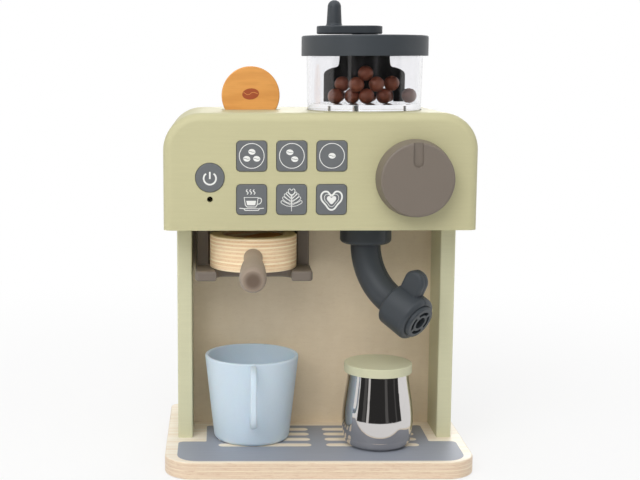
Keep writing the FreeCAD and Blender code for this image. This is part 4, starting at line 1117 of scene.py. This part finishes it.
@dataclass
class Casing:
    """Base board with its printed tray, side panels, back panel and the head's boards."""

    ply_count: int = 9
    slot_rows: tuple[float, ...] = (3.0, -8.7, -21.1, -34.1)
    slot_middle: float = 1.65
    slot_reach: tuple[float, float] = (5.1, 70.1)
    slot_half_width: float = 3.45

    def dress(self) -> None:
        """Paints the boards, the side panels with a paler copy of the green as painted light, and shows the
        base board's plies.
        """
        dress(SprayedPaint("sage green paint", GREEN).make(), "front_panel", "head_shell", "head_floor",
              "rear_cover", "battery_door")
        dress(SprayedPaint("sage paint with painted light", PAINTED_LIGHT_GREEN).make(), "left_side_panel", "right_side_panel")
        low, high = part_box("base_board")
        plywood = VeneerStack(
            "birch plywood", light=shade(240, 222, 196), dark=shade(223, 195, 167), glue=shade(198, 150, 120),
            face=shade(250, 240, 222), bottom=low.z, top=high.z, sheets=self.ply_count,
        )
        dress(plywood.make(), "base_board")
        fibreboard = PlainWood(
            "bare back board", light=shade(243, 226, 198), dark=shade(224, 204, 172),
            sizes=(0.004, 0.004, 0.012), roughness=0.6, bands=0.1, fibres=0.5, pores=0.2,
        )
        dress(fibreboard.make(), "back_panel")

    def print_tray(self) -> None:
        """Prints the drip tray on the base board, its slots left bare."""
        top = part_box("base_board")[1].z
        outline = [
            Corner(-96.5, -69.4, 14.0), Corner(98.5, -69.4, 14.0), Corner(98.5, -26.0, 4.0),
            Corner(79.8, -26.0, 1.0), Corner(79.8, 12.3, 2.5), Corner(-76.8, 12.3, 2.5),
            Corner(-76.8, -26.0, 1.0), Corner(-96.5, -26.0, 4.0),
        ]
        rounding = self.slot_half_width - 0.01
        slots = []
        for row in self.slot_rows:
            low, high = row - self.slot_half_width, row + self.slot_half_width
            for side in (-1, 1):
                near, far = sorted(self.slot_middle + side * reach for reach in self.slot_reach)
                slots.append([
                    Corner(near, low, rounding), Corner(near, high, rounding),
                    Corner(far, high, rounding), Corner(far, low, rounding),
                ])
        tray = FlatPrint("tray_print", thickness=0.04)
        tray.patch(outline, *slots)
        ink = PrintedInk("grey tray ink", shade(155, 160, 171), roughness=0.5, mottle=0.035,
                         along=(0.03, 0.0012, 0.01))
        tray.lay(Matrix.Translation((0.0, 0.0, top)), ink.make(), "machine")


class Picture(Enum):
    """Pictures on the square buttons."""

    THREE_BEANS = "three beans"
    TWO_BEANS = "two beans"
    ONE_BEAN = "one bean"
    CUP = "steaming cup"
    LEAF = "leaf"
    HEART = "heart"


@dataclass
class Controls:
    """Power button, square buttons with their pictures, selector knob, and the rail of the same plastic."""

    pictures: dict[str, Picture] = field(default_factory=lambda: {
        "top_left": Picture.THREE_BEANS, "top_middle": Picture.TWO_BEANS, "top_right": Picture.ONE_BEAN,
        "bottom_left": Picture.CUP, "bottom_middle": Picture.LEAF, "bottom_right": Picture.HEART,
    })
    bean_centres: dict[Picture, list[Point]] = field(default_factory=lambda: {
        Picture.THREE_BEANS: [(0.1, 2.9), (-3.3, -1.7), (3.3, -1.7)],
        Picture.TWO_BEANS: [(-1.4, 2.6), (1.9, -2.0)],
        Picture.ONE_BEAN: [(0.0, 0.2)],
    })
    grey: Colour = shade(109, 112, 114)
    sink: float = 0.00001

    def dress(self) -> None:
        """Gives buttons, knob and rail their plastics."""
        buttons = MouldedPlastic("grey button plastic", self.grey, roughness=0.5)
        dress(buttons.make(), "power_button", *(f"{name}_button" for name in self.pictures))
        knob = MouldedPlastic("taupe plastic", shade(123, 113, 103), roughness=0.48)
        dress(knob.make(), "selector_knob", "bracket")

    def face(self, node: str) -> Matrix:
        """Place of a print on a button's face."""
        low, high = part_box(node)
        return facing_front((low.x + high.x) / 2, low.y - self.sink, (low.z + high.z) / 2)

    def print_pictures(self) -> None:
        """Prints a picture on each button."""
        ink = PrintedInk("white ink", shade(240, 240, 236), roughness=0.5, mottle=0.01).make()
        grey = PrintedInk("grey of the bean's crease", self.grey, mottle=0.01).make()
        for name, picture in self.pictures.items():
            print_on = FlatPrint(f"{name}_picture")
            place = self.face(f"{name}_button")
            if picture in self.bean_centres:
                self._beans(print_on, name, picture, place, grey)
            elif picture is Picture.CUP:
                self._cup(print_on)
            elif picture is Picture.LEAF:
                self._leaf(print_on)
            else:
                self._heart(print_on)
            print_on.lay(place, ink, f"{name}_key")
        power = FlatPrint("power_picture")
        self._power(power)
        power.lay(self.face("power_button"), ink, "power_key")

    def _power(self, sheet: FlatPrint) -> None:
        """Draws an open ring with a bar in its gap.

        Args:
            sheet: Print to draw on.
        """
        gap, radius, width, steps = 38.0, 4.1, 1.15, 12
        turns = [math.radians(90 + gap + (360 - 2 * gap) * index / steps) for index in range(steps + 1)]
        sheet.stroke([(radius * math.cos(turn), radius * math.sin(turn) - 0.5) for turn in turns], width)
        sheet.stroke([(0.0, -0.9), (0.0, 3.9)], width)

    def _beans(self, sheet: FlatPrint, name: str, picture: Picture, place: Matrix,
               grey: bpy.types.Material) -> None:
        """Draws beans in a ring, with a crease across each.

        Args:
            sheet: Print to draw on.
            name: Name of the button's place.
            picture: Picture to draw.
            place: Place of the print.
            grey: Ink of the creases.
        """
        sheet.ring((0.0, 0.2), 8.2, 0.5)
        crease = FlatPrint(f"{name}_creases", thickness=0.09)
        fold = ((-2.0, 0.35), (-0.7, 0.1), (0.6, -0.25), (2.0, -0.1))
        for x, y in self.bean_centres[picture]:
            sheet.blob(oval((x, y), 2.35, 1.85, -8.0))
            crease.stroke([(x + across, y + rise) for across, rise in fold], 0.42)
        crease.lay(place, grey, f"{name}_key")

    def _cup(self, sheet: FlatPrint) -> None:
        """Draws a steaming cup on its saucer.

        Args:
            sheet: Print to draw on.
        """
        for x in (-2.6, -0.3, 2.0):
            sheet.stroke([(x - 0.3, 6.9), (x - 0.9, 5.9), (x + 0.2, 4.7), (x - 0.4, 3.5)], 0.62)
        sheet.stroke([(-5.0, 1.5), (4.3, 1.5), (3.6, -3.6), (2.6, -4.9), (-3.0, -4.9), (-4.2, -3.6)], 0.6,
                     closed=True, smooth=False)
        sheet.patch([
            Corner(-3.6, -0.7, 0.2), Corner(2.9, -0.7, 0.2), Corner(2.4, -3.7, 0.6), Corner(-3.0, -3.7, 0.6),
        ])
        sheet.stroke([(4.2, 1.0), (6.0, 0.9), (6.5, -0.9), (5.5, -2.6), (3.9, -3.0)], 0.6)
        sheet.stroke([(-8.2, -5.7), (-5.4, -5.9), (-4.4, -7.1), (4.4, -7.1), (5.4, -5.9), (8.2, -5.7)], 0.62,
                     smooth=False)
        sheet.stroke([(-5.0, -5.9), (5.0, -5.9)], 0.45, smooth=False)

    def _leaf(self, sheet: FlatPrint) -> None:
        """Draws a leaf with paired leaflets and a stem.

        Args:
            sheet: Print to draw on.
        """
        sheet.stroke([(0.0, -7.8), (0.0, -2.0), (0.0, 3.6)], 0.5, smooth=False)
        for rise, reach, lift in ((-4.6, 6.9, 3.6), (-2.6, 5.8, 4.3), (-0.6, 4.6, 4.4), (1.4, 3.2, 3.6)):
            for side in (-1, 1):
                sheet.stroke([
                    (side * 0.2, rise), (side * 0.62 * reach, rise + 0.25 * lift),
                    (side * reach, rise + lift), (side * 0.55 * reach, rise + 0.72 * lift),
                    (side * 0.2, rise + 0.9),
                ], 0.4)
        bud = [(0.0, 3.4), (-2.2, 6.2), (-1.2, 7.2), (0.0, 6.2), (1.2, 7.2), (2.2, 6.2)]
        sheet.stroke(bud, 0.45, closed=True)

    def _heart(self, sheet: FlatPrint) -> None:
        """Draws a heart in three layers.

        Args:
            sheet: Print to draw on.
        """
        outline = [(0.0, -6.9), (-4.2, -3.2), (-6.9, 0.9), (-5.9, 4.6), (-2.9, 5.3), (0.0, 2.9),
                   (2.9, 5.3), (5.9, 4.6), (6.9, 0.9), (4.2, -3.2)]
        for size, width in ((1.0, 1.15), (0.68, 0.35)):
            sheet.stroke([(x * size, (y + 0.2) * size - 0.2) for x, y in outline], width, closed=True)
        sheet.blob([(x * 0.44, (y + 0.2) * 0.44 - 0.1) for x, y in outline])


@dataclass
class Pods:
    """Wooden pods, the standing one with a printed bean."""

    bean_height: float = 0.2545

    def dress(self) -> None:
        """Stains the pods and prints the bean on the standing one."""
        low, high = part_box("slot_pod")
        stain = PlainWood(
            "orange stained wood", light=shade(242, 176, 98), dark=shade(220, 150, 76),
            sizes=(0.012, 0.003, 0.0022), centre=tuple((low + high) / 2), roughness=0.42, bands=0.35,
            fibres=0.6, pores=0.15,
        ).make()
        dress(stain, "slot_pod", "cup_pod")
        bean = FlatPrint("pod_bean_print")
        bean.blob(oval((0.0, 0.0), 5.9, 3.9, 6.0))
        ink = PrintedInk("brown bean ink", shade(172, 84, 50), mottle=0.05)
        place = facing_front((low.x + high.x) / 2, low.y - 0.00001, self.bean_height)
        bean.lay(place, ink.make(), "standing_pod")
        crease = FlatPrint("pod_bean_crease", thickness=0.09)
        crease.stroke([(-5.0, 1.1), (-1.8, -0.5), (1.4, 1.1), (5.0, 0.2)], 0.55)
        wood = PrintedInk("bare crease", shade(222, 156, 88), mottle=0.03)
        crease.lay(place, wood.make(), "standing_pod")


@dataclass
class Hopper:
    """Clear jar with its lid, crank, stirrer and loose beans, and the other dark mouldings."""

    def dress(self) -> None:
        """Gives hopper, wand, tap head and pod holder their plastics, and stains the beans."""
        dress(ClearMoulding("clear plastic", (0.94, 0.94, 0.955, 1.0)).make(), "hopper_jar")
        dark = MouldedPlastic("dark grey plastic", shade(63, 68, 73), roughness=0.46).make()
        dress(dark, "hopper_lid", "crank", "wand_front_half", "wand_rear_half", "tap_front_half",
              "tap_rear_half", "nozzle_tip", "pod_holder", "wand_clip")
        dress(MouldedPlastic("black plastic paddle", shade(42, 40, 43), roughness=0.4).make(), "stirrer")
        beans = PlainWood(
            "brown lacquered beans", light=shade(188, 110, 82), dark=shade(138, 76, 56),
            sizes=(0.004, 0.0014, 0.0012), roughness=0.34, bands=0.3, fibres=0.5, pores=0.3,
            depth=0.00003, coat=0.3,
        )
        dress(beans.make(), "beans")


@dataclass
class FilterHolder:
    """Laminated cup on its rail, with its handle."""

    ply_count: int = 17

    def dress(self) -> None:
        """Shows the cup's layers, and gives the handle paler sides as painted light and a darker end as
        painted shade.
        """
        near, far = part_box("filter_handle")
        radius = (far.z - near.z) / 2
        # The handle's taupe is paler than the knob's as painted light on its sides; its darker front end is
        # painted shade.
        handle = ShadedEndPlastic(
            "taupe handle plastic with painted light and end shade", shade(152, 136, 120), roughness=0.48, end_shade_colour=shade(111, 94, 80),
            end_place=(near.x + radius, near.y, near.z + radius), end_radius=0.82 * radius,
        )
        dress(handle.make(), "filter_handle")
        low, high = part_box("filter_cup")
        laminate = VeneerStack(
            "laminated cup", light=shade(255, 238, 204), dark=shade(222, 170, 112), glue=shade(180, 124, 76),
            face=shade(240, 214, 168), bottom=low.z, top=high.z, sheets=self.ply_count, wander=0.0014,
            glue_share=0.45, streak=0.2,
        )
        dress(laminate.make(), "filter_cup")


@dataclass
class Tableware:
    """Mug, milk jug and the jug's lid."""

    def dress(self) -> None:
        """Gives the loose pieces their finishes."""
        mug = MouldedPlastic("light blue plastic", shade(210, 226, 238), roughness=0.55, soft=0.1)
        dress(mug.make(), "mug")
        dress(PolishedMetal("polished steel", (0.62, 0.60, 0.59, 1.0), roughness=0.03).make(), "milk_jug")
        dress(SprayedPaint("sage green lid paint", shade(206, 205, 174)).make(), "milk_jug_lid")


@dataclass
class InnerParts:
    """Screws, dowels and what lies inside the head."""

    cell_band: float = 0.012

    def dress(self) -> None:
        """Gives the small and hidden pieces their finishes."""
        zinc = PolishedMetal("zinc plate", (0.56, 0.57, 0.58, 1.0), roughness=0.28, hairline=0.1)
        dress(zinc.make(), "base_screws", "back_panel_screws", "head_screws", "rear_cover_screws",
              "battery_door_screw", "board_screws", "jar_screws", "crank_screw", "wand_screws", "tap_screws",
              "bracket_screws", "filter_handle_screw", "knob_shaft")
        beech = PlainWood("beech dowel", light=shade(224, 196, 152), dark=shade(196, 158, 112),
                          sizes=(0.003, 0.012, 0.003))
        dress(beech.make(), "front_panel_dowels")
        black = MouldedPlastic("black plastic", shade(36, 37, 39), roughness=0.5)
        dress(black.make(), "battery_box", "board_spacers", "key_switches", "knob_retainer", "knob_washer",
              "speaker")
        band_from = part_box("batteries")[1].z - self.cell_band
        dress(CellWrap("cell wrap", shade(60, 92, 84), shade(196, 168, 104), band_from).make(), "batteries")
        dress(EtchedBoard("circuit board", shade(34, 84, 50), shade(58, 118, 70)).make(), "circuit_board")
        dress(ClearMoulding("red lamp", (0.75, 0.06, 0.05, 1.0), roughness=0.15).make(), "indicator_lamp")


@dataclass(frozen=True)
class Lamp:
    """Soft square light: its place, size in metres and power in watts."""

    name: str
    place: tuple[float, float, float]
    size: float
    power: float
    mirrored: bool = True

    def set_up(self, aim: Vector) -> None:
        """Adds the light, which reflections leave out unless it is mirrored.

        Args:
            aim: Point that it looks at.
        """
        lamp = bpy.data.lights.new(self.name, "AREA")
        lamp.shape = "SQUARE"
        lamp.size = self.size
        lamp.energy = self.power
        light = bpy.data.objects.new(self.name, lamp)
        light.location = self.place
        light.visible_glossy = self.mirrored
        light.visible_transmission = self.mirrored
        light.rotation_euler = (aim - Vector(self.place)).to_track_quat("-Z", "Y").to_euler()
        bpy.context.scene.collection.objects.link(light)


@dataclass(frozen=True)
class Strip:
    """Pale strip of the room: its angle from the front and half its width in radians, and its glow."""

    angle: float
    half_width: float
    glow: float


@dataclass(frozen=True)
class Card:
    """Curved card of the room: radius and height of its two ends, and its reach to each side in degrees."""

    name: str
    start: Point
    end: Point
    reach: float


@dataclass
class Studio:
    """Floor, soft lights, the room that shiny pieces mirror, and the camera."""

    camera_place: tuple[float, float, float] = (-0.06802, -0.87292, 0.27750)
    pitch: float = 81.806
    roll: float = 0.0965
    yaw: float = -0.03
    lens: float = 69.90
    shift: float = 0.1578
    aim: tuple[float, float, float] = (0.0, 0.0, 0.14)
    lamps: tuple[Lamp, ...] = (
        Lamp("high front light", (-0.25, -1.35, 1.35), 1.2, 11.2, mirrored=False),
        Lamp("high key light", (-0.9, -1.2, 1.3), 0.9, 5.5),
        Lamp("key light", (-0.75, -1.45, 0.75), 0.8, 2.1),
        Lamp("top light", (0.0, -0.3, 1.6), 1.0, 4.8, mirrored=False),
        Lamp("fill light", (0.85, -1.4, 0.6), 0.8, 0.3),
        Lamp("left light", (-1.5, -0.5, 0.7), 0.8, 1.2),
        Lamp("right light", (1.5, -0.5, 0.7), 0.8, 0.6),
        Lamp("rear light", (0.3, 1.4, 0.7), 0.8, 6.5),
    )
    world_level: float = 0.39
    floor_drop: float = 0.0002
    floor_radius: float = 6.0
    floor_glow: float = 0.72
    floor_fade: tuple[float, float] = (0.12, 0.75)
    cards: tuple[Card, ...] = (
        Card("room wall", (2.0, 0.001), (2.0, 2.4), 125.0),
        Card("dark floor", (0.17, 0.001), (2.0, 0.001), 72.0),
    )
    dark_level: float = 0.035
    side_level: float = 0.8
    side_angle: tuple[float, float] = (1.22, 1.28)
    strips: tuple[Strip, ...] = (
        Strip(0.40, 0.07, 0.12), Strip(-0.64, 0.05, 0.75), Strip(-0.86, 0.08, 0.10), Strip(0.95, 0.03, 0.09),
    )
    strip_edge: float = 0.03

    def build(self) -> None:
        """Sets up camera, world, floor, room and lights."""
        scene = bpy.context.scene
        scene.view_settings.view_transform = "Standard"
        self._camera(scene)
        self._world(scene)
        self._floor()
        self._room()
        for lamp in self.lamps:
            lamp.set_up(Vector(self.aim))

    def _camera(self, scene: bpy.types.Scene) -> None:
        """Places the camera at the photograph's angle.

        Args:
            scene: Scene to place it in.
        """
        lens = bpy.data.cameras.new("camera")
        lens.lens = self.lens
        lens.sensor_width = 36.0
        lens.shift_x = self.shift
        lens.clip_start, lens.clip_end = 0.01, 50.0
        camera = bpy.data.objects.new("camera", lens)
        camera.location = self.camera_place
        camera.rotation_euler = tuple(math.radians(angle) for angle in (self.pitch, self.roll, self.yaw))
        scene.collection.objects.link(camera)
        scene.camera = camera

    def _world(self, scene: bpy.types.Scene) -> None:
        """White to the camera, in reflections and through clear pieces, soft grey as light.

        Args:
            scene: Scene to give it to.
        """
        world = bpy.data.worlds.new("soft room")
        world.use_nodes = True
        scene.world = world
        board = NodeBoard(world.node_tree)
        world.node_tree.nodes.clear()
        seen = self._seen_white(board)
        strength = board.maths("MULTIPLY_ADD", seen, 1.0 - self.world_level, self.world_level)
        background = board.add("ShaderNodeBackground", {"Color": (1.0, 1.0, 1.0, 1.0), "Strength": strength})
        board.add("ShaderNodeOutputWorld", {"Surface": background.outputs[0]})

    @staticmethod
    def _seen_white(board: NodeBoard) -> Socket:
        """Tells direct, mirrored and transmitted sight, before any matt surface, from light.

        Args:
            board: Board of the world or the floor.

        Returns:
            1 for sight and 0 for light.
        """
        path = board.add("ShaderNodeLightPath")
        seen = board.maths("MAXIMUM", path.outputs["Is Camera Ray"], path.outputs["Is Glossy Ray"])
        seen = board.maths("MAXIMUM", seen, path.outputs["Is Transmission Ray"])
        return board.maths("MULTIPLY", seen, board.maths("LESS_THAN", path.outputs["Diffuse Depth"], 0.5))

    def _floor(self) -> None:
        """Adds a white floor that keeps a soft shadow near the object."""
        material, board = blank_material("white floor")
        matt = board.add("ShaderNodeBsdfDiffuse", {"Color": (0.9, 0.9, 0.9, 1.0)})
        glow = board.add("ShaderNodeEmission", {"Color": (1.0, 1.0, 1.0, 1.0), "Strength": 1.0})
        x, y, _ = board.axes(board.place())
        near, far = self.floor_fade
        whiteness = board.step(board.distance(x, y), near, far, self.floor_glow, 1.0)
        share = board.maths("MULTIPLY", self._seen_white(board), whiteness)
        mixed = board.add("ShaderNodeMixShader", {0: share, 1: matt.outputs[0], 2: glow.outputs[0]})
        board.add("ShaderNodeOutputMaterial", {"Surface": mixed.outputs[0]})
        shape = bmesh.new()
        bmesh.ops.create_circle(shape, cap_ends=True, segments=64, radius=self.floor_radius)
        floor = shown("floor", shape, material)
        floor.location.z = -self.floor_drop

    def _room(self) -> None:
        """Adds a curved room seen only in reflections: dark with pale strips in front, white at its sides."""
        low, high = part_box("milk_jug")
        centre = (low + high) / 2
        for wall in self.cards:
            shape = bmesh.new()
            knots = [shape.verts.new((0.0, -radius, height)) for radius, height in (wall.start, wall.end)]
            edge = shape.edges.new(knots)
            turn = Matrix.Rotation(math.radians(-wall.reach), 3, "Z")
            bmesh.ops.rotate(shape, verts=shape.verts, matrix=turn)
            bmesh.ops.spin(shape, geom=[*shape.verts, edge], axis=(0.0, 0.0, 1.0), steps=48,
                           angle=math.radians(2 * wall.reach))
            card = shown(wall.name, shape, self._room_tone(wall.name))
            card.location = (centre.x, centre.y, 0.0)
            card.visible_camera = False
            card.visible_diffuse = False
            card.visible_shadow = False

    def _room_tone(self, name: str) -> bpy.types.Material:
        """Builds the room's glow, which only mirrored sight meets.

        Args:
            name: Name of the material.

        Returns:
            The material.
        """
        material, board = blank_material(name)
        x, y, _ = board.axes(board.place())
        turn = board.maths("ARCTAN2", x, board.maths("MULTIPLY", y, -1.0))
        glow = board.step(board.maths("ABSOLUTE", turn), *self.side_angle, self.dark_level, self.side_level)
        for strip in self.strips:
            off = board.maths("ABSOLUTE", board.maths("SUBTRACT", turn, strip.angle))
            edge = strip.half_width + self.strip_edge
            glow = board.maths("MAXIMUM", glow, board.step(off, strip.half_width, edge, strip.glow, 0.0))
        shine = board.add("ShaderNodeEmission", {"Color": (1.0, 0.985, 0.97, 1.0), "Strength": glow})
        path = board.add("ShaderNodeLightPath")
        mirrored = board.maths("GREATER_THAN", path.outputs["Glossy Depth"], 0.5)
        nothing = board.add("ShaderNodeBsdfTransparent")
        mixed = board.add("ShaderNodeMixShader", {0: mirrored, 1: nothing.outputs[0], 2: shine.outputs[0]})
        board.add("ShaderNodeOutputMaterial", {"Surface": mixed.outputs[0]})
        return material


def main() -> None:
    """Builds the looks piece by piece."""
    logging.basicConfig(level=logging.INFO, format="%(message)s")
    casing = Casing()
    casing.dress()
    casing.print_tray()
    controls = Controls()
    controls.dress()
    controls.print_pictures()
    Pods().dress()
    Hopper().dress()
    FilterHolder().dress()
    Tableware().dress()
    InnerParts().dress()
    Studio().build()


if __name__ == "__main__":
    main()
